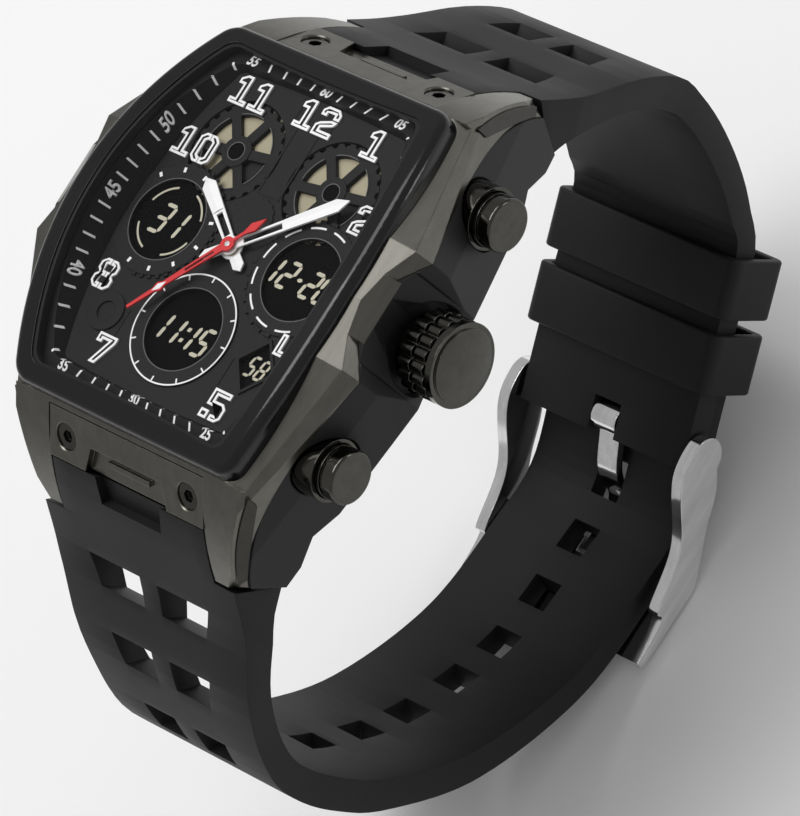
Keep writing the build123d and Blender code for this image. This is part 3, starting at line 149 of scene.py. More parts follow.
def spread(tree, value, low, high):
    """Stretch the usual span of a cloudy pattern to run from low to high."""
    node = tree.nodes.new("ShaderNodeMapRange")
    node.inputs["From Min"].default_value = CLOUD_LOW
    node.inputs["From Max"].default_value = CLOUD_HIGH
    node.inputs["To Min"].default_value = low
    node.inputs["To Max"].default_value = high
    tree.links.new(value, node.inputs["Value"])
    return node.outputs["Result"]


def colour_between(tree, value, dark, light):
    """Colour that goes from dark to light as a value goes from 0 to 1."""
    node = tree.nodes.new("ShaderNodeMix")
    node.data_type = "RGBA"
    node.inputs["A"].default_value = (*dark, 1)
    node.inputs["B"].default_value = (*light, 1)
    tree.links.new(value, node.inputs["Factor"])
    return node.outputs["Result"]


def shade_and_gloss(tree, shader, colour, shade, shades, cloud, roughness, gloss):
    """Vary the colour by one pattern and the roughness by another."""
    dark = tuple(c * shades[0] for c in colour)
    light = tuple(min(1.0, c * shades[1]) for c in colour)
    tone = colour_between(tree, spread(tree, shade, 0.0, 1.0), dark, light)
    tree.links.new(tone, shader.inputs["Base Color"])
    rough = spread(tree, cloud, roughness * gloss[0], roughness * gloss[1])
    tree.links.new(rough, shader.inputs["Roughness"])


def surface_bump(tree, shader, height, strength, depth, round_edge):
    """Raise the surface by a pattern and round the piece's edges; depth and radius in millimetres."""
    bump = tree.nodes.new("ShaderNodeBump")
    bump.inputs["Strength"].default_value = strength
    bump.inputs["Distance"].default_value = depth * MM
    tree.links.new(height, bump.inputs["Height"])
    if round_edge:
        bevel = tree.nodes.new("ShaderNodeBevel")
        bevel.samples = EDGE_SAMPLES
        bevel.inputs["Radius"].default_value = round_edge * MM
        tree.links.new(bevel.outputs["Normal"], bump.inputs["Normal"])
    tree.links.new(bump.outputs["Normal"], shader.inputs["Normal"])


def metal(name, colour, roughness, stretch=(1, 1, 1), grain=0.05, edge=0.12):
    """Metal with a brushed grain that runs along the axis with the smallest stretch."""
    material, tree, shader = new_material(name)
    lines = noise(tree, object_coordinates(tree, stretch), METAL_LINES, detail=6.0, roughness=0.65)
    broad = noise(tree, object_coordinates(tree), METAL_CLOUDS, detail=3.0)
    shade_and_gloss(tree, shader, colour, lines, METAL_SHADES, broad, roughness, METAL_GLOSS)
    shader.inputs["Metallic"].default_value = 1.0
    surface_bump(tree, shader, lines, grain, METAL_LINE_DEPTH, edge)
    return material


def plain(name, colour, roughness, grain=0.1, fine=2500.0, specular=0.5, edge=0.1):
    """Rubber, plastic or paint with a fine even grain."""
    material, tree, shader = new_material(name)
    vector = object_coordinates(tree)
    fine_grain = noise(tree, vector, fine, detail=3.0)
    broad = noise(tree, vector, PLAIN_CLOUDS)
    shade_and_gloss(tree, shader, colour, broad, PLAIN_SHADES, broad, roughness, PLAIN_GLOSS)
    shader.inputs["Specular IOR Level"].default_value = specular
    surface_bump(tree, shader, fine_grain, grain, PLAIN_GRAIN_DEPTH, edge)
    return material


def clear_glass():
    """Crystal that lets the lamps through and mirrors a little, on its outer side only."""
    material, tree, shader = new_material("crystal_clear")
    tree.nodes.remove(shader)
    output = tree.nodes["Material Output"]
    see_through = tree.nodes.new("ShaderNodeBsdfTransparent")
    gloss = tree.nodes.new("ShaderNodeBsdfGlossy")
    fresnel = tree.nodes.new("ShaderNodeFresnel")
    fresnel.inputs["IOR"].default_value = GLASS_INDEX
    facing = tree.nodes.new("ShaderNodeNewGeometry")
    outer_only = tree.nodes.new("ShaderNodeMix")
    outer_only.inputs["B"].default_value = 0.0
    mix = tree.nodes.new("ShaderNodeMixShader")
    smear = spread(tree, noise(tree, object_coordinates(tree), GLASS_SMEARS), *GLASS_ROUGHNESS)
    tree.links.new(smear, gloss.inputs["Roughness"])
    tree.links.new(facing.outputs["Backfacing"], outer_only.inputs["Factor"])
    tree.links.new(fresnel.outputs["Fac"], outer_only.inputs["A"])
    tree.links.new(outer_only.outputs["Result"], mix.inputs["Fac"])
    tree.links.new(see_through.outputs["BSDF"], mix.inputs[1])
    tree.links.new(gloss.outputs["BSDF"], mix.inputs[2])
    tree.links.new(mix.outputs["Shader"], output.inputs["Surface"])
    return material


GUNMETAL = (0.135, 0.131, 0.116)
DARK_METAL = (0.05, 0.0485, 0.044)
BLACK_POLISH = (0.075, 0.073, 0.066)
BRIGHT_STEEL = (0.80, 0.80, 0.81)
PLAIN_STEEL = (0.58, 0.58, 0.58)
BRASS = (0.72, 0.55, 0.25)
COPPER = (0.72, 0.36, 0.2)
BLACK_RUBBER = (0.0085, 0.0085, 0.0088)
BLACK_CASE = (0.0085, 0.0085, 0.0085)
BLACK_RIM = (0.006, 0.006, 0.0062)
DIAL_BLACK = (0.010, 0.010, 0.0102)
LCD_BLACK = (0.0025, 0.0025, 0.003)
LCD_CREAM = (0.50, 0.47, 0.36)
CREAM = (0.36, 0.32, 0.215)
# Light grey of the painted highlight lines on the ring and gear edges
HIGHLIGHT_GREY = (0.10, 0.10, 0.10)
WHITE = (0.86, 0.86, 0.86)
RED = (0.60, 0.008, 0.012)
BOARD_GREEN = (0.05, 0.22, 0.1)
MODULE_GREY = (0.25, 0.25, 0.26)
ALONG_X = (0.05, 1, 1)
ALONG_Y = (1, 0.1, 1)
FAR_ALONG_Y = (1, 0.04, 1)

materials = {
    "gunmetal": metal("gunmetal_satin", GUNMETAL, 0.30, FAR_ALONG_Y),
    "black_polish": metal("black_polish", BLACK_POLISH, 0.10, ALONG_X, grain=0.004),
    "dark_plate": metal("dark_metal", DARK_METAL, 0.34, ALONG_X),
    "polished_steel": metal("polished_steel", BRIGHT_STEEL, 0.12, ALONG_Y, grain=0.01),
    "steel": metal("plain_steel", PLAIN_STEEL, 0.28, ALONG_Y),
    "brass": metal("turned_brass", BRASS, 0.30),
    "copper": metal("copper_wire", COPPER, 0.35, ALONG_X),
    "black_case": plain("black_case", BLACK_CASE, 0.48, grain=0.06, specular=0.3, edge=0.22),
    "black_rim": plain("black_rim", BLACK_RIM, 0.15, grain=0.005, specular=0.36),
    "black_rubber": plain("black_rubber", BLACK_RUBBER, 0.55, grain=0.12, specular=0.25, edge=0.0),
    "dial_black": plain("dial_black", DIAL_BLACK, 0.45, grain=0.02, fine=5000.0, specular=0.14, edge=0.08),
    "lcd": plain("display_black", LCD_BLACK, 0.35, grain=0.0, specular=0.02, edge=0.0),
    "cream": plain("cream_plate", CREAM, 0.6, grain=0.05, edge=0.0),
    # Painted highlight grey, for lines that stand for light caught on edges
    "painted_highlight_grey": plain("painted_highlight_grey", HIGHLIGHT_GREY, 0.4, grain=0.01, edge=0.0),
    "lcd_cream": plain("segment_cream", LCD_CREAM, 0.5, grain=0.02, edge=0.0),
    "white_paint": plain("white_paint", WHITE, 0.35, grain=0.02, edge=0.05),
    "red_paint": plain("red_paint", RED, 0.35, grain=0.02, edge=0.05),
    "board_green": plain("board_green", BOARD_GREEN, 0.4),
    "module_grey": plain("module_grey", MODULE_GREY, 0.5),
    "clear_glass": clear_glass(),
}
POLISHED_NODES = ("crown", "pusher_2", "pusher_4", "pusher_tubes", "end_plate_screws")


def paint(obj, finish):
    """Give a piece one material."""
    obj.data.materials.clear()
    obj.data.materials.append(materials[finish])


def paint_cad_nodes():
    """Paint every solid by its slot, and the crown, the buttons and the screws with a polish."""
    slots = {part["node"]: part["material_slot"] for part in frame["record"]["subparts"]}
    for node, obj in frame["nodes"].items():
        paint(obj, "black_polish" if node in POLISHED_NODES else slots[node])


paint_cad_nodes()


# Rubber strap

STRAP_EDGE = 0.42
STRAP_EDGE_STEPS = 3
STRAP_SHARP_ANGLE = math.radians(38)
STRAP_COLUMNS = 6
CURVE_STEPS = 24
STATION_STEP = 1.5
STATION_ROOM = 0.6
STATION_SLACK = 0.01
SHOULDER = 0.12
SHOULDER_ROW = 2
WINDOW_HALF = 1.8
WINDOW_RIM = 1.0
HOLE_HALF = 1.72
HOLE_LEAD = 0.5
TONGUE_ROOM = 1.3
PLAIN_HALF = 4.5
PLAIN_LEAD = 1.0
WINDOW_SLANT = 2.4
SLANT_FADE = 6.0
IN_LUGS_HALF = 10.22
POCKET_HEEL = (23.7, -5.15)
POCKET_FOOT = (30.3, -15.9)
POCKET_HALF = 4.7
POCKET_FOOT_HALF = 4.0
POCKET_LENGTH = 3.0
POCKET_DEPTH = 0.9
END_ANGLE = math.radians(28.0)
END_START = (30.2, -50.0)
END_THICKNESS = 2.8
END_LENGTH = 22.1
END_HALF = 11.0
END_SLOT_LENGTH = 3.6
END_SLOT_HALF = 1.75
TAIL_GAP = 0.12
TAIL_THICKNESS = 2.3
TAIL_START = 17.6
TAIL_END = 9.0
TAIL_HALF = 10.0

# Pairs of a point on the outer face and one on the wrist face, as (y, z, y, z), from the lug down
PAIRS_12 = (
    (23.7, -5.2, 20.2, -11.6),
    (25.6, -8.1, 21.9, -13.6),
    (26.8, -10.4, 23.4, -15.6),
    (30.3, -15.9, 26.8, -17.7),
    (35.6, -22.5, 32.6, -23.6),
    (38.8, -28.4, 35.5, -29.4),
    (39.0, -33.0, 35.9, -33.2),
    (38.3, -38.0, 35.4, -37.4),
    (36.7, -43.5, 34.0, -42.6),
    (34.6, -48.0, 32.2, -46.8),
)
PAIRS_6 = (
    (-23.7, -5.2, -20.2, -11.6),
    (-25.6, -8.1, -21.9, -13.6),
    (-26.8, -10.4, -23.4, -15.6),
    (-29.8, -15.8, -26.8, -17.7),
    (-34.65, -23.0, -32.0, -23.8),
    (-37.8, -31.3, -34.8, -31.0),
    (-37.9, -37.2, -34.9, -35.9),
    (-36.3, -43.6, -33.4, -41.8),
    (-33.3, -50.0, -30.7, -47.9),
    (-25.4, -59.6, -23.4, -57.0),
    (-12.9, -66.8, -11.8, -64.1),
    (-0.7, -68.7, -0.4, -66.0),
    (6.9, -68.4, 7.0, -66.0),
)
# Height and half width of the strap
HALF_WIDTHS = (
    (-10.0, 12.85), (-16.0, 12.8), (-19.0, 12.3), (-27.0, 11.2), (-36.0, 10.6), (-48.0, 10.1),
)
# Middle of each pair of windows, and the distances of its inner side, top corner and low corner
WINDOW_ROWS = (
    ((29.8, -15.8), 1.2, 8.1, 7.1),
    ((34.65, -23.0), 1.25, 6.7, 5.8),
    ((37.8, -31.3), 1.35, 5.6, 5.2),
)
# Middles of the tongue holes on the wrist face, the one that holds the tongue first
TONGUE_HOLES = (
    (7.9, -65.9), (1.4, -66.0), (-5.2, -65.5), (-11.7, -64.1), (-17.6, -61.3), (-22.8, -57.3),
    (-27.4, -52.6), (-31.1, -47.1),
)


def along_end(distance, depth):
    """Point on the 12 o'clock strap's straight end, as (y, z)."""
    y = END_START[0] - distance * math.cos(END_ANGLE) + depth * math.sin(END_ANGLE)
    z = END_START[1] - distance * math.sin(END_ANGLE) - depth * math.cos(END_ANGLE)
    return y, z


def end_row(distance, outer_depth, inner_depth):
    """Pair of points on the outer face and the wrist face of a strap's straight stretch."""
    return (*along_end(distance, outer_depth), *along_end(distance, inner_depth))


def between(table, value):
    """Read a table of (place, size) rows that falls in place, with straight lines between the rows."""
    if value >= table[0][0]:
        return table[0][1]
    for (high, first), (low, second) in zip(table, table[1:]):
        if value >= low:
            return second + (first - second) * (value - low) / (high - low)
    return table[-1][1]


def curve_through(rows):
    """Smooth line through rows of numbers, as many short steps."""
    line = []
    padded = [rows[0]] + list(rows) + [rows[-1]]
    for first, start, end, last in zip(padded, padded[1:], padded[2:], padded[3:]):
        for step in range(CURVE_STEPS):
            t = step / CURVE_STEPS
            row = []
            for a, b, c, d in zip(first, start, end, last):
                row.append(0.5 * (2 * b + (c - a) * t + (2 * a - 5 * b + 4 * c - d) * t**2
                                  + (3 * b - a - 3 * c + d) * t**3))
            line.append(tuple(row))
    line.append(tuple(rows[-1]))
    return line


def lengths_along(line):
    """Distance from the start to each point of a line, along its outer face."""
    total = 0.0
    result = [0.0]
    for a, b in zip(line, line[1:]):
        total += math.dist(a[:2], b[:2])
        result.append(total)
    return result


def row_at(line, lengths, distance):
    """Pair of points at a distance along the line."""
    for index in range(1, len(line)):
        if lengths[index] >= distance:
            share = (distance - lengths[index - 1]) / (lengths[index] - lengths[index - 1])
            return tuple(a + (b - a) * share for a, b in zip(line[index - 1], line[index]))
    return line[-1]


def nearest_length(line, lengths, point, first=0):
    """Distance along the line where its outer face, or its wrist face with first at 2, is nearest."""
    best = min(range(len(line)), key=lambda i: math.dist(line[i][first:first + 2], point))
    return lengths[best]


def window_cuts(line, lengths, sign):
    """Starts and ends of the windows along the strap, and a table of their inner and outer sides."""
    cuts = []
    sides = []
    for (y, z), inner_x, top_x, low_x in WINDOW_ROWS:
        middle = nearest_length(line, lengths, (sign * y, z))
        start = middle - WINDOW_HALF
        end = middle + WINDOW_HALF
        cuts.append((start, end))
        sides += [(start, inner_x, top_x), (end, inner_x, low_x)]
    return cuts, sides


def hole_cuts(line, lengths, holes):
    """Starts and ends of the tongue holes, or of the slot at the end of a strap without them."""
    if not holes:
        return [(lengths[-1] - END_SLOT_LENGTH, lengths[-1])]
    cuts = []
    for point in holes:
        middle = nearest_length(line, lengths, point, 2)
        room = TONGUE_ROOM if point == holes[0] else 0.0
        cuts.append((middle - HOLE_HALF, middle + HOLE_HALF + room))
    return cuts


def inside_cuts(place, cuts):
    """Whether a stretch that starts at a place lies in one of the cuts."""
    return any(low - STATION_SLACK < place < high - STATION_SLACK for low, high in cuts)


def strap_stations(total, cuts, shoulder):
    """Distances along the strap where a row of points is set."""
    wanted = [place for cut in cuts for place in cut] + [shoulder, shoulder + SHOULDER]
    stations = list(wanted)
    count = int(total / STATION_STEP)
    for step in range(count + 1):
        distance = total * step / count
        if min(abs(distance - other) for other in wanted) > STATION_ROOM:
            stations.append(distance)
    return sorted(stations)


def place_key(place):
    """A place rounded to a hundredth of a millimetre, to look it up by."""
    return tuple(round(value / MM, 2) for value in place)


def cut_and_thicken(obj, wrist_places):
    """Delete the selected faces, extrude the rest to the wrist face and round the sharp edges."""
    edit(obj, FACES)
    bpy.ops.mesh.delete(type="FACE")
    bpy.ops.mesh.select_all(action="SELECT")
    bpy.ops.mesh.extrude_region()
    bpy.ops.object.mode_set(mode="OBJECT")
    for vertex in obj.data.vertices:
        if vertex.select:
            vertex.co = wrist_places[place_key(vertex.co)]
    bpy.ops.object.mode_set(mode="EDIT")
    face_outwards()
    bpy.ops.mesh.select_all(action="DESELECT")
    bpy.ops.mesh.edges_select_sharp(sharpness=STRAP_SHARP_ANGLE)
    bpy.ops.mesh.bevel(offset=STRAP_EDGE * MM, segments=STRAP_EDGE_STEPS, affect="EDGES",
                       clamp_overlap=True)
    bpy.ops.object.mode_set(mode="OBJECT")
    smooth(obj)


def strap(name, pairs, end_rows, least_half, sign, holes, slant):
    """Rubber strap: a grid over the outer face is cut open and thickened to the wrist face."""
    line = curve_through(list(pairs) + end_rows)
    lengths = lengths_along(line)
    shoulder = nearest_length(line, lengths, pairs[SHOULDER_ROW][:2])
    windows, sides = window_cuts(line, lengths, sign)
    slots = hole_cuts(line, lengths, holes)
    stations = strap_stations(lengths[-1], windows + slots, shoulder)
    # Past the windows the grid's outer columns close in, and its inner ones go to the holes' sides
    first_slot = min(start for start, end in slots)
    outer_sides = [(-place, outer) for place, inner, outer in sides]
    outer_sides.append((PLAIN_LEAD - first_slot, PLAIN_HALF))
    inner_sides = [(-place, inner) for place, inner, outer in sides]
    inner_sides.append((HOLE_LEAD - first_slot, HOLE_HALF if holes else END_SLOT_HALF))
    first_window = windows[0][0]
    last_window = windows[-1][1]
    bpy.context.tool_settings.mesh_select_mode = FACES
    bpy.ops.mesh.primitive_grid_add(x_subdivisions=STRAP_COLUMNS - 1, y_subdivisions=len(stations) - 1,
                                    size=1)
    obj = bpy.context.object
    obj.name = name
    wrist_places = {}
    for vertex in obj.data.vertices:
        distance = stations[vertex.index // STRAP_COLUMNS]
        outer = row_at(line, lengths, distance)
        half = max(least_half, between(HALF_WIDTHS, outer[1]))
        if distance < shoulder + STATION_SLACK:
            half = IN_LUGS_HALF
        outer_x = min(between(outer_sides, -distance), half - WINDOW_RIM)
        inner_x = between(inner_sides, -distance)
        x = (-half, -outer_x, -inner_x, inner_x, outer_x, half)[vertex.index % STRAP_COLUMNS]
        vertex.co = watch_point(x, outer[0], outer[1])
        # The cuts slant from the first window to the last, and the slant fades out before and after them
        rise = min(1.0, (distance - shoulder) / (first_window - shoulder))
        fall = min(1.0, 1.0 - (distance - last_window) / SLANT_FADE)
        inner = row_at(line, lengths, distance + slant * max(0.0, min(rise, fall)))
        wrist_places[place_key(vertex.co)] = watch_point(x, inner[2], inner[3])
    for polygon in obj.data.polygons:
        column = min(index % STRAP_COLUMNS for index in polygon.vertices)
        start = stations[min(index // STRAP_COLUMNS for index in polygon.vertices)]
        in_window = column in (1, 3) and inside_cuts(start, windows)
        in_slot = column == 2 and inside_cuts(start, slots)
        polygon.select = in_window or in_slot
    cut_and_thicken(obj, wrist_places)
    return obj


def strap_pocket(obj, sign):
    """Cut the shallow trapezoid under the end plate's channel."""
    heel = Vector((0, *POCKET_HEEL))
    along = (Vector((0, *POCKET_FOOT)) - heel).normalized()
    outward = Vector((0, -along.z, along.y))
    bpy.ops.mesh.primitive_cube_add(size=2)
    cutter = bpy.context.object
    for vertex in cutter.data.vertices:
        x, down, out = vertex.co
        half = POCKET_HALF if down < 0 else POCKET_FOOT_HALF
        place = heel + along * (down * POCKET_LENGTH) + outward * (out * POCKET_DEPTH)
        vertex.co = watch_point(x * half, sign * place.y, place.z)
    edit(cutter, FACES)
    face_outwards()
    take(obj)
    modifier = obj.modifiers.new("pocket", "BOOLEAN")
    modifier.operation = "DIFFERENCE"
    modifier.solver = "EXACT"
    modifier.object = cutter
    bpy.ops.object.modifier_apply(modifier=modifier.name)
    bpy.data.objects.remove(cutter)
    smooth(obj)


def rubber_piece(obj, node, body):
    """A rubber piece that is drawn in place of its solid."""
    paint(obj, "black_rubber")
    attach(obj, body)
    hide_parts(node)


def straps():
    """The 12 o'clock strap up to the buckle, and the 6 o'clock strap, whose tail lies over its end."""
    end_rows = [end_row(place, END_THICKNESS, 0) for place in (0, END_LENGTH / 2, END_LENGTH)]
    upper = strap("strap_12_skin", PAIRS_12, end_rows, END_HALF, 1, (), 0.0)
    inner_depth = END_THICKNESS + TAIL_GAP
    outer_depth = inner_depth + TAIL_THICKNESS
    tail_places = (TAIL_START, (TAIL_START + TAIL_END) / 2, TAIL_END)
    tail_rows = [end_row(place, outer_depth, inner_depth) for place in tail_places]
    lower = strap("strap_6_skin", PAIRS_6, tail_rows, TAIL_HALF, -1, TONGUE_HOLES, WINDOW_SLANT)
    rubber_piece(upper, "strap_12", "case")
    rubber_piece(lower, "strap_6", "case")
    strap_pocket(upper, 1)
    strap_pocket(lower, -1)


straps()


# Keepers

KEEPER_LENGTH = 6.1
KEEPER_HALF = 12.3
KEEPER_THICKNESS = 7.7
KEEPER_WALL = 1.15
KEEPER_ROUND = 0.275
KEEPER_ROUND_STEPS = 3
KEEPER_CORNER = 1.3
KEEPER_CORNER_STEPS = 6
KEEPER_SHARP_ANGLE = math.radians(60)
KEEPER_PLACES = {"keeper_fixed": 3.25, "keeper_free": 10.95}
KEEPER_DEPTH = (END_THICKNESS + TAIL_GAP + TAIL_THICKNESS) / 2
PARALLEL = 0.99


def keeper(node, body):
    """Rounded rubber loop: a block with round corners is cut open end to end and its rims are rounded."""
    bpy.ops.mesh.primitive_cube_add(size=1)
    obj = bpy.context.object
    obj.name = node + "_skin"
    for vertex in obj.data.vertices:
        x, along, out = vertex.co
        y, z = along_end(KEEPER_PLACES[node] + along * KEEPER_LENGTH, KEEPER_DEPTH + out * KEEPER_THICKNESS)
        vertex.co = watch_point(2 * x * KEEPER_HALF, y, z)
    strap_direction = Vector((0, -math.cos(END_ANGLE), -math.sin(END_ANGLE)))
    edit(obj, EDGES)
    bpy.ops.mesh.select_all(action="DESELECT")
    bpy.ops.object.mode_set(mode="OBJECT")
    for edge in obj.data.edges:
        first, second = (obj.data.vertices[index].co for index in edge.vertices)
        edge.select = abs((first - second).normalized().dot(strap_direction)) > PARALLEL
    edit(obj, EDGES)
    bpy.ops.mesh.bevel(offset=KEEPER_CORNER * MM, segments=KEEPER_CORNER_STEPS, affect="EDGES")
    bpy.ops.mesh.select_all(action="DESELECT")
    bpy.ops.object.mode_set(mode="OBJECT")
    for polygon in obj.data.polygons:
        polygon.select = abs(polygon.normal.dot(strap_direction)) > PARALLEL
    edit(obj, FACES)
    bpy.ops.mesh.inset(thickness=KEEPER_WALL * MM)
    bpy.ops.mesh.bridge_edge_loops()
    face_outwards()
    bpy.ops.mesh.select_all(action="DESELECT")
    bpy.context.tool_settings.mesh_select_mode = EDGES
    bpy.ops.mesh.edges_select_sharp(sharpness=KEEPER_SHARP_ANGLE)
    bpy.ops.mesh.bevel(offset=KEEPER_ROUND * MM, segments=KEEPER_ROUND_STEPS, affect="EDGES")
    bpy.ops.object.mode_set(mode="OBJECT")
    smooth(obj)
    rubber_piece(obj, node, body)


keeper("keeper_fixed", "case")
keeper("keeper_free", "keeper")


# Prints and thin raised work on the dial

PRINT = 0.02
LCD_TOP = -0.3
RING_TOP = 0.18
LEFT_DISPLAY = (-8.9, 0.0)
RIGHT_DISPLAY = (8.9, 0.0)
LOW_DISPLAY = (0.0, -8.725)
LOW_DIGITS = (0.0, -9.025)
DIAMOND = (9.73, -9.02)
GEARS = ((-6.281, 8.545), (6.281, 8.545))
# A ring stops just short of a full turn, so that its outline doesn't meet itself
FULL_TURN = 359.99


def around(middle, radius, degrees):
    """Point at a radius from a middle, in degrees clockwise from 12."""
    angle = math.radians(degrees)
    return middle[0] + radius * math.sin(angle), middle[1] + radius * math.cos(angle)


def rectangle(middle, width, height, lean=0.0, turn=0.0):
    """Corners of a rectangle that leans to the right by lean per height and is then turned clockwise."""
    sine, cosine = math.sin(math.radians(turn)), math.cos(math.radians(turn))
    corners = []
    for across, up in ((-1, -1), (1, -1), (1, 1), (-1, 1)):
        x = across * width / 2 + up * height / 2 * lean
        y = up * height / 2
        corners.append((middle[0] + x * cosine + y * sine, middle[1] - x * sine + y * cosine))
    return corners


def spoke(middle, radius, degrees, width, length):
    """Bar that points away from a middle."""
    return rectangle(around(middle, radius, degrees), width, length, turn=degrees)


def arc_band(middle, radius, width, start, end, steps=12):
    """Outline of a piece of a ring, from one angle to another."""
    angles = [start + (end - start) * step / steps for step in range(steps + 1)]
    outer = [around(middle, radius + width / 2, angle) for angle in angles]
    inner = [around(middle, radius - width / 2, angle) for angle in angles]
    return outer + inner[::-1]


def disk(middle, radius, steps=48):
    """Outline of a round face."""
    return [around(middle, radius, 360 * step / steps) for step in range(steps)]


def join(pieces, name):
    """Make one object of several."""
    clear_selection()
    for piece in pieces:
        piece.select_set(True)
    bpy.context.view_layer.objects.active = pieces[0]
    if len(pieces) > 1:
        bpy.ops.object.join()
    pieces[0].name = name
    return pieces[0]


def flat_faces(name, outlines, z):
    """One flat face per outline, all at one height above the dial."""
    pieces = []
    for outline in outlines:
        bpy.ops.mesh.primitive_circle_add(vertices=len(outline), radius=1, fill_type="NGON")
        piece = bpy.context.object
        for vertex, (x, y) in zip(piece.data.vertices, outline):
            vertex.co = watch_point(x, y, z)
        pieces.append(piece)
    return join(pieces, name)


def thicken(obj, height):
    """Give flat faces a body by extruding them straight up, or down with a negative height."""
    edit(obj, FACES)
    face_outwards()
    bpy.ops.mesh.extrude_region_move(TRANSFORM_OT_translate={"value": (0, 0, height * MM)})
    face_outwards()
    bpy.ops.object.mode_set(mode="OBJECT")


def finish_piece(obj, finish, body="case"):
    """Paint a piece and say which body and slot it belongs to."""
    paint(obj, finish)
    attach(obj, body)


def plates(name, outlines, low, high, finish, body="case"):
    """Thin flat pieces between two heights above the dial."""
    obj = flat_faces(name, outlines, low)
    thicken(obj, high - low)
    finish_piece(obj, finish, body)


# Raised hour numerals in a block style, drawn on cells about five across and seven up

def mirrored(outline, width):
    """The other half of a numeral that is alike on both sides."""
    return tuple((width - x, y) for x, y in reversed(outline))


ROUND_WIDTH = 4.9
ZERO_HALF = (
    (0, 1.1), (1.1, 0), (2.35, 0), (2.35, 1.4), (1.9, 1.4), (1.5, 1.8), (1.5, 5.2), (1.9, 5.6),
    (2.35, 5.6), (2.35, 7), (1.1, 7), (0, 5.9),
)
EIGHT_HALF = (
    (0, 1.1), (1.1, 0), (2.35, 0), (2.35, 1.3), (1.5, 1.3), (1.5, 2.9), (2.35, 2.9), (2.35, 4.1),
    (1.5, 4.1), (1.5, 5.7), (2.35, 5.7), (2.35, 7), (1.1, 7), (0, 5.9), (0, 4.3), (0.8, 3.5), (0, 2.7),
)
GLYPHS = {
    "0": (ZERO_HALF, mirrored(ZERO_HALF, ROUND_WIDTH)),
    "1": (
        ((0, 0), (4.4, 0), (4.4, 1.3), (3.1, 1.3), (3.1, 7), (1.6, 7), (0.2, 5.9), (0.2, 4.7),
         (1.5, 4.7), (1.5, 1.3), (0, 1.3)),
    ),
    "2": (
        ((0, 4.7), (1.4, 4.7), (1.4, 5.6), (3.3, 5.6), (3.3, 4.5), (4.8, 4.5), (4.8, 6.0), (3.8, 7),
         (1.0, 7), (0, 6.0)),
        ((0, 0), (4.8, 0), (4.8, 1.4), (1.6, 1.4), (1.6, 2.0), (4.2, 3.0), (4.8, 4.2), (3.3, 4.2),
         (0.9, 3.2), (0, 2.4)),
    ),
    "4": (
        ((0, 2.0), (2.5, 2.0), (2.5, 0), (4.0, 0), (4.0, 7), (2.5, 7), (2.5, 3.3), (1.4, 3.3),
         (1.4, 7), (0, 7)),
    ),
    "5": (
        ((2.1, 0), (3.8, 0), (4.8, 1.0), (4.8, 3.4), (3.8, 4.4), (1.5, 4.4), (1.5, 5.6), (4.6, 5.6),
         (4.6, 7), (0, 7), (0, 3.1), (3.3, 3.1), (3.3, 1.4), (2.1, 1.4)),
        ((-0.5, 0), (1.5, 0), (1.5, 2.0), (-0.5, 2.0)),
    ),
    "7": (
        ((1.0, 0), (2.6, 0), (4.8, 5.6), (4.8, 7), (0, 7), (0, 4.8), (1.4, 4.8), (1.4, 5.6), (3.1, 5.6)),
    ),
    "8": (EIGHT_HALF, mirrored(EIGHT_HALF, ROUND_WIDTH)),
}
CELL_ROWS = 7
CELL_COLUMNS = 4.8
NUMERALS = (
    ("11", -8.05, 14.07), ("12", 0.25, 14.39), ("1", 7.98, 14.21), ("10", -10.86, 7.51),
    ("2", 11.6, 7.29), ("8", -11.78, -7.11), ("7", -7.21, -13.62), ("5", 8.36, -13.76),
    ("4", 11.82, -6.62),
)
NUMERAL_HEIGHT = 3.05
NUMERAL_STEP = 5.1
NUMERAL_STRETCH = 1.12
NUMERAL_LINE = 0.25
NUMERAL_RISE = 0.22


def numeral_outlines():
    """Outlines of all the hour numerals, each about its own middle on the dial."""
    unit = NUMERAL_HEIGHT / CELL_ROWS
    wide = unit * NUMERAL_STRETCH
    outlines = []
    for text, x, y in NUMERALS:
        left = x - wide * (NUMERAL_STEP * (len(text) - 1) + CELL_COLUMNS) / 2
        for place, glyph in enumerate(text):
            for outline in GLYPHS[glyph]:
                outlines.append([
                    (left + (place * NUMERAL_STEP + column) * wide, y + (row - CELL_ROWS / 2) * unit)
                    for column, row in outline
                ])
    return outlines


def keep_inner_faces(obj, line):
    """Inset every face of a flat piece by the width of a line and delete the line."""
    edit(obj, FACES)
    bpy.ops.mesh.select_all(action="SELECT")
    bpy.ops.mesh.inset(thickness=line * MM, use_individual=True)
    bpy.ops.mesh.select_all(action="INVERT")
    bpy.ops.mesh.delete(type="FACE")
    bpy.ops.object.mode_set(mode="OBJECT")


def numerals():
    """White numerals with a black face that leaves a white line round it."""
    outlines = numeral_outlines()
    plates("numeral_lines", outlines, 0.0, NUMERAL_RISE, "white_paint")
    faces = flat_faces("numeral_faces", outlines, 0.0)
    keep_inner_faces(faces, NUMERAL_LINE)
    thicken(faces, NUMERAL_RISE + PRINT)
    finish_piece(faces, "dial_black")


numerals()


# Minute track on the flange

TRACK_SIDE_X = 14.86
TRACK_SIDE_FALL = 3.6
TRACK_FALL_HEIGHT = 16.0
TRACK_END_Y = 16.82
TRACK_LOW_Y = 16.6
TRACK_SLACK = 0.2
TRACK_REACH = 30.0
TRACK_HALVINGS = 40
MINUTE_DEGREES = 6
TICK_WIDTH = 0.22
TICK_LENGTH = 0.95
SIDE_TICK_LENGTH = 0.62
NUMBER_SIZE = 1.5
NUMBER_BOLD = 0.055
NUMBER_NARROW = 0.85
SIDE_NUMBER_SIZE = 1.9
SIDE_NUMBER_SQUEEZE = 0.45
# Side numbers have their tops outward above this height and inward below it
SIDE_NUMBER_FLIP_Y = -1.0
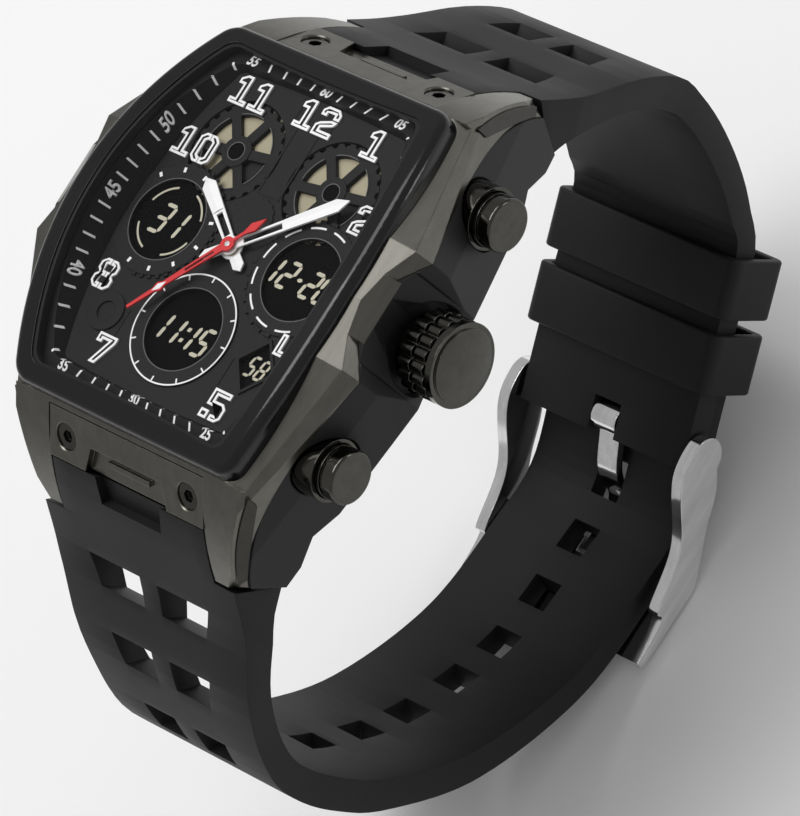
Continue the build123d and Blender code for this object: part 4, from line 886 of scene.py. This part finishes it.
# Side numbers that lean with the wall, in degrees
SIDE_NUMBER_LEANS = {10: -18, 20: 18, 40: -18, 50: 18}
# Flat prints are drawn at this height and dropped from there
DROP_HEIGHT = 4.0
DROP_CUTS = 3
PRINT_LIFT = 0.03


def track_place(minute):
    """Point of the track that a ray from the dial's middle meets."""
    across, up = around((0, 0), 1, MINUTE_DEGREES * minute)
    end = TRACK_END_Y if up > 0 else TRACK_LOW_Y
    low, high = 0.0, TRACK_REACH
    for _ in range(TRACK_HALVINGS):
        middle = (low + high) / 2
        x, y = abs(across * middle), abs(up * middle)
        inside = y < end and x < TRACK_SIDE_X - TRACK_SIDE_FALL * (y / TRACK_FALL_HEIGHT) ** 2
        low, high = (middle, high) if inside else (low, middle)
    return across * low, up * low


def on_side(y):
    """Whether a point of the track lies on a side of it and not on its upper or lower end."""
    return TRACK_SLACK - TRACK_LOW_Y < y < TRACK_END_Y - TRACK_SLACK


def minute_ticks():
    """Flat ticks of the minutes between the numbers, above the flange."""
    bars = []
    for minute in range(60):
        if minute % 5:
            place = track_place(minute)
            length = SIDE_TICK_LENGTH if on_side(place[1]) else TICK_LENGTH
            bars.append(rectangle(place, TICK_WIDTH, length, turn=MINUTE_DEGREES * minute))
    return flat_faces("minute_ticks", bars, DROP_HEIGHT)


def minute_number(text, place, turn, size, squeeze):
    """Flat number above the flange, turned anticlockwise in radians, then narrowed from left to right."""
    bpy.ops.object.text_add()
    obj = bpy.context.object
    obj.data.body = text
    obj.data.size = size * MM
    obj.data.align_x = "CENTER"
    obj.data.align_y = "CENTER"
    obj.data.offset = NUMBER_BOLD * MM
    bpy.ops.object.convert(target="MESH")
    cosine, sine = math.cos(turn), math.sin(turn)
    for vertex in obj.data.vertices:
        across, up = vertex.co.x / MM * NUMBER_NARROW, vertex.co.y / MM
        x = place[0] + (across * cosine - up * sine) * squeeze
        y = place[1] + across * sine + up * cosine
        vertex.co = watch_point(x, y, DROP_HEIGHT)
    return obj


def minute_numbers():
    """Flat numbers of every fifth minute, above the flange."""
    pieces = []
    for minute in range(5, 65, 5):
        place = track_place(minute % 60)
        turn, size, squeeze = 0.0, NUMBER_SIZE, 1.0
        if on_side(place[1]):
            outward = place[0] if place[1] > SIDE_NUMBER_FLIP_Y else -place[0]
            turn = -math.copysign(math.pi / 2, outward) - math.radians(SIDE_NUMBER_LEANS.get(minute, 0))
            size, squeeze = SIDE_NUMBER_SIZE, SIDE_NUMBER_SQUEEZE
        pieces.append(minute_number(f"{minute:02d}", place, turn, size, squeeze))
    return join(pieces, "minute_numbers")


def lay_on_flange(obj):
    """Drop a flat print straight down onto the flange and give it a thin body."""
    edit(obj, FACES)
    bpy.ops.mesh.select_all(action="SELECT")
    bpy.ops.mesh.quads_convert_to_tris()
    bpy.ops.mesh.subdivide(number_cuts=DROP_CUTS)
    bpy.ops.object.mode_set(mode="OBJECT")
    modifier = obj.modifiers.new("drop", "SHRINKWRAP")
    modifier.wrap_method = "PROJECT"
    modifier.offset = PRINT_LIFT * MM
    modifier.use_project_x = False
    modifier.use_project_y = False
    modifier.use_project_z = True
    modifier.use_negative_direction = True
    modifier.use_positive_direction = False
    modifier.target = frame["nodes"]["chapter_ring"]
    bpy.ops.object.modifier_apply(modifier=modifier.name)
    # What misses the flange lies on the dial
    for vertex in obj.data.vertices:
        if vertex.co.z > watch_point(0, 0, DROP_HEIGHT - PRINT_LIFT).z:
            vertex.co.z = watch_point(0, 0, PRINT_LIFT).z
    thicken(obj, PRINT)
    finish_piece(obj, "white_paint")


lay_on_flange(minute_ticks())
lay_on_flange(minute_numbers())


# Display segments

SEGMENTS = {
    "0": "abcdef", "1": "bc", "2": "abged", "3": "abgcd", "5": "afgcd", "8": "abcdefg", "-": "g",
}
SEGMENT_LEAN = 0.22
SEGMENT_GAP_SHARE = 0.14
SEGMENT_WIDTH = 0.38
THIN_SEGMENT_WIDTH = 0.27
DASH_WIDTH = 0.75
# Middle of each row of digits, the digits' height, width and bar width, and each digit with its place
DIGIT_ROWS = (
    (LEFT_DISPLAY, 2.9, 1.35, SEGMENT_WIDTH, (("3", -1.0), ("1", 0.9))),
    (RIGHT_DISPLAY, 2.6, 1.2, SEGMENT_WIDTH, (("1", -3.95), ("2", -1.95), ("-", -0.45), ("2", 1.05),
                                              ("0", 2.8))),
    (LOW_DIGITS, 2.7, 1.15, SEGMENT_WIDTH, (("1", -2.95), ("1", -1.25), ("1", 0.65), ("5", 2.55))),
    (DIAMOND, 1.9, 0.8, THIN_SEGMENT_WIDTH, (("5", -0.66), ("8", 0.66))),
)
COLON_X = 0.25
COLON_HEIGHTS = (-0.9, 0.3)
COLON_SIZE = 0.4
ARC_RADIUS = 3.45
ARC_WIDTH = 0.2
ARC_STARTS = (20, 110, 200, 290)
ARC_SPAN = 50


def segment_digit(glyph, x, y, width, height, thick):
    """Slanted seven-part digit of pointed bars."""
    half = height / 2
    side = width / 2
    places = {
        "a": (0, half, True), "g": (0, 0, True), "d": (0, -half, True),
        "f": (-side, half / 2, False), "b": (side, half / 2, False),
        "e": (-side, -half / 2, False), "c": (side, -half / 2, False),
    }
    outlines = []
    for key in SEGMENTS[glyph]:
        middle_x, middle_y, flat = places[key]
        length = (side if flat else half / 2) - thick * SEGMENT_GAP_SHARE
        straight = length - thick / 2
        points = [(-length, 0), (-straight, thick / 2), (straight, thick / 2), (length, 0),
                  (straight, -thick / 2), (-straight, -thick / 2)]
        if not flat:
            points = [(up, across) for across, up in points]
        outline = []
        for across, up in points:
            up += middle_y
            outline.append((x + across + middle_x + up * SEGMENT_LEAN, y + up))
        outlines.append(outline)
    return outlines


def displays():
    """Digits of the four windows, the colon in the lower one and the arcs in the left one."""
    outlines = []
    for start in ARC_STARTS:
        outlines.append(arc_band(LEFT_DISPLAY, ARC_RADIUS, ARC_WIDTH, start, start + ARC_SPAN))
    for (x, y), height, width, thick, digits in DIGIT_ROWS:
        for glyph, place in digits:
            glyph_width = DASH_WIDTH if glyph == "-" else width
            outlines += segment_digit(glyph, x + place, y, glyph_width, height, thick)
    for height in COLON_HEIGHTS:
        middle = (LOW_DISPLAY[0] + COLON_X + height * SEGMENT_LEAN, LOW_DISPLAY[1] + height)
        outlines.append(rectangle(middle, COLON_SIZE, COLON_SIZE, SEGMENT_LEAN))
    plates("display_segments", outlines, LCD_TOP, LCD_TOP + PRINT, "lcd_cream")


displays()


# Marks and teeth of the round windows' rings

HOUR_DEGREES = 30
MARK_LENGTH = 0.5
LOW_CIRCLE_RADIUS = 5.62
LOW_MARK_RADIUS = 5.3
LOW_LINE_WIDTH = 0.16
RIGHT_DASH_RADIUS = 5.25
RIGHT_DASH_WIDTH = 0.2
RIGHT_DASH_START = 5
RIGHT_DASH_END = 24
RIGHT_DASH_GAP = 3
LEFT_MARK_RADIUS = 5.1
LEFT_MARK_WIDTH = 0.3
LEFT_MARK_GAP = (7, 8, 9)
TOOTH_RADIUS = 5.86
TOOTH_LENGTH = 0.45
# Middle of each toothed ring, its number of teeth, their width, and where they start and end
TOOTHED_RINGS = (
    (LEFT_DISPLAY, 20, 0.44, 0, 180),
    (RIGHT_DISPLAY, 14, 0.715, 180, 360),
)


def ring_marks():
    """Circle and hour marks of the lower ring, dashes of the right ring and marks of the left one."""
    white = [arc_band(LOW_DISPLAY, LOW_CIRCLE_RADIUS, LOW_LINE_WIDTH, 0.0, FULL_TURN, steps=96)]
    for hour in range(12):
        angle = HOUR_DEGREES * hour
        white.append(spoke(LOW_DISPLAY, LOW_MARK_RADIUS, angle, LOW_LINE_WIDTH, MARK_LENGTH))
        if hour != RIGHT_DASH_GAP:
            white.append(arc_band(RIGHT_DISPLAY, RIGHT_DASH_RADIUS, RIGHT_DASH_WIDTH,
                                  angle + RIGHT_DASH_START, angle + RIGHT_DASH_END))
        if hour not in LEFT_MARK_GAP:
            white.append(spoke(LEFT_DISPLAY, LEFT_MARK_RADIUS, angle + HOUR_DEGREES / 2, LEFT_MARK_WIDTH,
                               MARK_LENGTH))
    plates("ring_marks", white, RING_TOP, RING_TOP + PRINT, "white_paint")


def ring_teeth():
    """Notched edges of the two upper rings, on the sides that face the dial's middle."""
    teeth = []
    for middle, count, width, start, end in TOOTHED_RINGS:
        for tooth in range(count + 1):
            angle = start + (end - start) * tooth / count
            teeth.append(spoke(middle, TOOTH_RADIUS, angle, width, TOOTH_LENGTH))
    plates("ring_teeth", teeth, 0.0, RING_TOP, "dial_black")


ring_marks()
ring_teeth()


# Gears, painted edge highlights and ribs of the dial

GEAR_TURN = 22
SPOKE_DEGREES = 60
GEAR_FLOOR = -0.64
GEAR_HUB_RADIUS = 1.6
GEAR_HOLE_RADIUS = 0.85
GEAR_HOLE_DEPTH = 0.1
GEAR_WINDOW_RADIUS = 3.8
DARK_WINDOW_LAP = 0.2
# Radius, width and end gaps of the painted highlight lines on the ring and gear edges
RING_HIGHLIGHT_RADIUS = 4.22
HIGHLIGHT_LINE = 0.07
HIGHLIGHT_GAP = 10
RIB_WIDTH = 0.22
RIB_HEIGHT = 0.06
# Ribs on both sides of the middle line, as x, y, length and lean, and the rib across it
SIDE_RIBS = (
    (1.35, 9.5, 7.0, 0.0), (2.3, 14.6, 2.2, 0.0), (12.3, 11.9, 3.2, -0.3), (6.9, -11.6, 5.0, 0.0),
)
CROSS_RIB_Y = 5.9
CROSS_RIB_LENGTH = 2.9


def painted_edge_highlights():
    """Painted highlights: thin light grey lines on the rings' edges and the gears' rims, in place of light
    caught by those edges.
    """
    rings = [arc_band(middle, RING_HIGHLIGHT_RADIUS, HIGHLIGHT_LINE, 0.0, FULL_TURN, steps=72)
             for middle in (LEFT_DISPLAY, RIGHT_DISPLAY, LOW_DISPLAY)]
    plates("ring_edge_highlights", rings, RING_TOP, RING_TOP + PRINT / 2, "painted_highlight_grey")
    rims = []
    for gear in GEARS:
        for start in range(GEAR_TURN, GEAR_TURN + 360, SPOKE_DEGREES):
            rims.append(arc_band(gear, GEAR_WINDOW_RADIUS + HIGHLIGHT_LINE, HIGHLIGHT_LINE, start + HIGHLIGHT_GAP,
                                 start + SPOKE_DEGREES - HIGHLIGHT_GAP, steps=8))
        rims.append(arc_band(gear, GEAR_HOLE_RADIUS + HIGHLIGHT_LINE, HIGHLIGHT_LINE, 0.0, FULL_TURN, steps=32))
    plates("gear_edge_highlights", rims, 0.0, PRINT, "painted_highlight_grey")


def dark_windows():
    """The gear window that shows no light plate, and the hole in each gear's hub."""
    middle_radius = (GEAR_HUB_RADIUS + GEAR_WINDOW_RADIUS) / 2
    width = GEAR_WINDOW_RADIUS - GEAR_HUB_RADIUS + 2 * DARK_WINDOW_LAP
    start = GEAR_TURN + SPOKE_DEGREES
    bands = [arc_band(gear, middle_radius, width, start, start + SPOKE_DEGREES) for gear in GEARS]
    plates("dark_windows", bands, GEAR_FLOOR, GEAR_FLOOR + PRINT, "dial_black")
    holes = [disk(gear, GEAR_HOLE_RADIUS - PRINT) for gear in GEARS]
    plates("gear_holes", holes, -GEAR_HOLE_DEPTH, -GEAR_HOLE_DEPTH + PRINT, "lcd")


def dial_steps():
    """Low ribs on the dial between the gears and down its middle."""
    ribs = [rectangle((0, CROSS_RIB_Y), CROSS_RIB_LENGTH, RIB_WIDTH)]
    for side in (-1, 1):
        for x, y, length, lean in SIDE_RIBS:
            ribs.append(rectangle((side * x, y), RIB_WIDTH, length, side * lean))
    plates("dial_steps", ribs, 0.0, RIB_HEIGHT, "dial_black")


painted_edge_highlights()
dark_windows()
dial_steps()


# Facets on the hands

HAND_THICKNESS = 0.2
HANDS = {
    "hour": {"angle": 304.9, "foot": 0.3, "length": 8.74, "width": 1.5, "tail": 2.9, "hub": 1.15,
             "slot_end": 4.3},
    "minute": {"angle": 48.6, "foot": 0.72, "length": 12.66, "width": 1.35, "tail": 3.2, "hub": 0.9,
               "slot_end": 5.6},
}
RIDGE = 0.13
POINT_HALF = 0.03
POINT_SHARE = 0.9
WAIST_SHARE = 0.35
SLOT_END_GAP = 0.25
TAIL_WIDTH_SHARE = 0.4
TAIL_BELLY_SHARE = 0.8
TAIL_HUB_SHARE = 0.95
SECOND_ANGLE = 214.5
SECOND_TOP = 1.34
SECOND_MARK_PLACE = 7.6
SECOND_MARK_HALF_LENGTH = 0.85
SECOND_MARK_HALF_WIDTH = 0.3


def along_hand(degrees, across, along):
    """Place on the dial of a point beside a hand's middle line."""
    cosine, sine = math.cos(math.radians(degrees)), math.sin(math.radians(degrees))
    return across * cosine + along * sine, along * cosine - across * sine


def roof(name, body, degrees, low, stations):
    """Two facets that meet in a ridge, from rows of (place along the hand, half width)."""
    bpy.ops.mesh.primitive_grid_add(x_subdivisions=2, y_subdivisions=len(stations) - 1, size=1)
    obj = bpy.context.object
    obj.name = name
    for vertex in obj.data.vertices:
        row, column = divmod(vertex.index, 3)
        along, half = stations[row]
        x, y = along_hand(degrees, (column - 1) * half, along)
        on_ridge = column == 1 and half > POINT_HALF
        vertex.co = watch_point(x, y, low + (RIDGE if on_ridge else 0.0))
    thicken(obj, -PRINT)
    finish_piece(obj, "white_paint", body)


def hand_facets():
    """Facets on the blade and the tail of the hour hand and the minute hand."""
    for body, hand in HANDS.items():
        top = hand["foot"] + HAND_THICKNESS + PRINT
        belly = hand["length"] * POINT_SHARE
        half = hand["width"] / 2
        waist = hand["width"] * WAIST_SHARE
        start_half = waist + (half - waist) * hand["slot_end"] / belly
        blade = [(hand["slot_end"] + SLOT_END_GAP, start_half), (belly, half), (hand["length"], POINT_HALF)]
        roof(body + "_blade", body, hand["angle"], top, blade)
        tail_half = hand["width"] * TAIL_WIDTH_SHARE
        tail = [(-hand["tail"], POINT_HALF), (-hand["tail"] * TAIL_BELLY_SHARE, tail_half),
                (-hand["hub"], tail_half * TAIL_HUB_SHARE)]
        roof(body + "_tail", body, hand["angle"], top, tail)


def second_mark():
    """White lozenge on the seconds hand."""
    corners = (
        (0, SECOND_MARK_PLACE - SECOND_MARK_HALF_LENGTH), (SECOND_MARK_HALF_WIDTH, SECOND_MARK_PLACE),
        (0, SECOND_MARK_PLACE + SECOND_MARK_HALF_LENGTH), (-SECOND_MARK_HALF_WIDTH, SECOND_MARK_PLACE),
    )
    outline = [along_hand(SECOND_ANGLE, across, along) for across, along in corners]
    plates("second_mark", [outline], SECOND_TOP, SECOND_TOP + PRINT, "white_paint", "second")


hand_facets()
second_mark()


# Floor, lamps and camera

FLOOR_SIZE = 6.0
FLOOR_GAP = 0.2
FLOOR_TONES = ((0.90, 0.90, 0.90), (0.92, 0.92, 0.92))
FLOOR_CLOUDS = 3.0
FLOOR_ROUGHNESS = 0.8
ROOM_LIGHT = 0.42
WHITE_LIGHT = 1.0
CAMERA_ROWS = (
    (0.701928, 0.521864, -0.484722),
    (-0.328268, 0.840997, 0.430074),
    (0.632090, -0.142762, 0.761630),
)
CAMERA_PLACE = (388.237, -88.451, 435.749)
FOCAL_PIXELS = 6457.49
IMAGE_LONG_SIDE = 816
SENSOR = 36.0
NEAREST = 0.01
FARTHEST = 20.0
LAMP_TARGET = (0, 0, -20)
# Metres from the lamps' target to the camera's right, up in the picture and towards the camera
KEY_LAMP = (-0.42, 0.28, 0.33)
SIDE_LAMP = (0.55, 0.10, 0.1)
# Metres from the lamps' target to the 3 o'clock side, to the 12 o'clock side and up
TOP_LAMP = (-0.15, 0.25, 0.55)


def floor():
    """Pale floor under the watch."""
    bpy.ops.mesh.primitive_plane_add(size=FLOOR_SIZE, location=(0, 0, cad_low.z - FLOOR_GAP * MM))
    plane = bpy.context.object
    plane.name = "studio_floor"
    material, tree, shader = new_material("pale_floor")
    tone = spread(tree, noise(tree, object_coordinates(tree), FLOOR_CLOUDS), 0.0, 1.0)
    tree.links.new(colour_between(tree, tone, *FLOOR_TONES), shader.inputs["Base Color"])
    shader.inputs["Roughness"].default_value = FLOOR_ROUGHNESS
    plane.data.materials.append(material)


def background(tree, strength):
    """White light of the room at one strength."""
    node = tree.nodes.new("ShaderNodeBackground")
    node.inputs["Color"].default_value = (1, 1, 1, 1)
    node.inputs["Strength"].default_value = strength
    return node.outputs["Background"]


def room():
    """White to the camera, and a softer light on the watch."""
    world = bpy.data.worlds.new("studio_world")
    bpy.context.scene.world = world
    world.use_nodes = True
    tree = world.node_tree
    tree.nodes.clear()
    output = tree.nodes.new("ShaderNodeOutputWorld")
    path = tree.nodes.new("ShaderNodeLightPath")
    mix = tree.nodes.new("ShaderNodeMixShader")
    tree.links.new(path.outputs["Is Camera Ray"], mix.inputs["Fac"])
    tree.links.new(background(tree, ROOM_LIGHT), mix.inputs[1])
    tree.links.new(background(tree, WHITE_LIGHT), mix.inputs[2])
    tree.links.new(mix.outputs["Shader"], output.inputs["Surface"])


def area_lamp(name, place, width, height, watts):
    """Lamp that points at the lamps' target; its sizes in metres."""
    data = bpy.data.lights.new(name, "AREA")
    data.shape = "RECTANGLE"
    data.size = width
    data.size_y = height
    data.energy = watts
    lamp = bpy.data.objects.new(name, data)
    bpy.context.scene.collection.objects.link(lamp)
    lamp.location = place
    direction = watch_point(*LAMP_TARGET) - place
    lamp.rotation_mode = "QUATERNION"
    lamp.rotation_quaternion = direction.to_track_quat("-Z", "Y")


def lamps():
    """Key lamp from the upper left, a narrow one from the right and one from above."""
    target = watch_point(*LAMP_TARGET)
    axes = Matrix(CAMERA_ROWS).transposed()
    area_lamp("key_lamp", target + axes @ Vector(KEY_LAMP), width=0.30, height=0.30, watts=1.6)
    area_lamp("side_lamp", target + axes @ Vector(SIDE_LAMP), width=0.10, height=0.5, watts=0.85)
    area_lamp("top_lamp", target + Vector(TOP_LAMP), width=0.30, height=0.30, watts=1.1)


def camera():
    """Camera with the photograph's view."""
    data = bpy.data.cameras.new("photo_camera")
    data.sensor_width = SENSOR
    data.lens = FOCAL_PIXELS * SENSOR / IMAGE_LONG_SIDE
    data.clip_start = NEAREST
    data.clip_end = FARTHEST
    cam = bpy.data.objects.new("photo_camera", data)
    bpy.context.scene.collection.objects.link(cam)
    turn = Matrix(CAMERA_ROWS).transposed().to_4x4()
    cam.matrix_world = Matrix.Translation(watch_point(*CAMERA_PLACE)) @ turn
    bpy.context.scene.camera = cam


floor()
room()
lamps()
camera()

bpy.context.scene.view_settings.view_transform = "Standard"
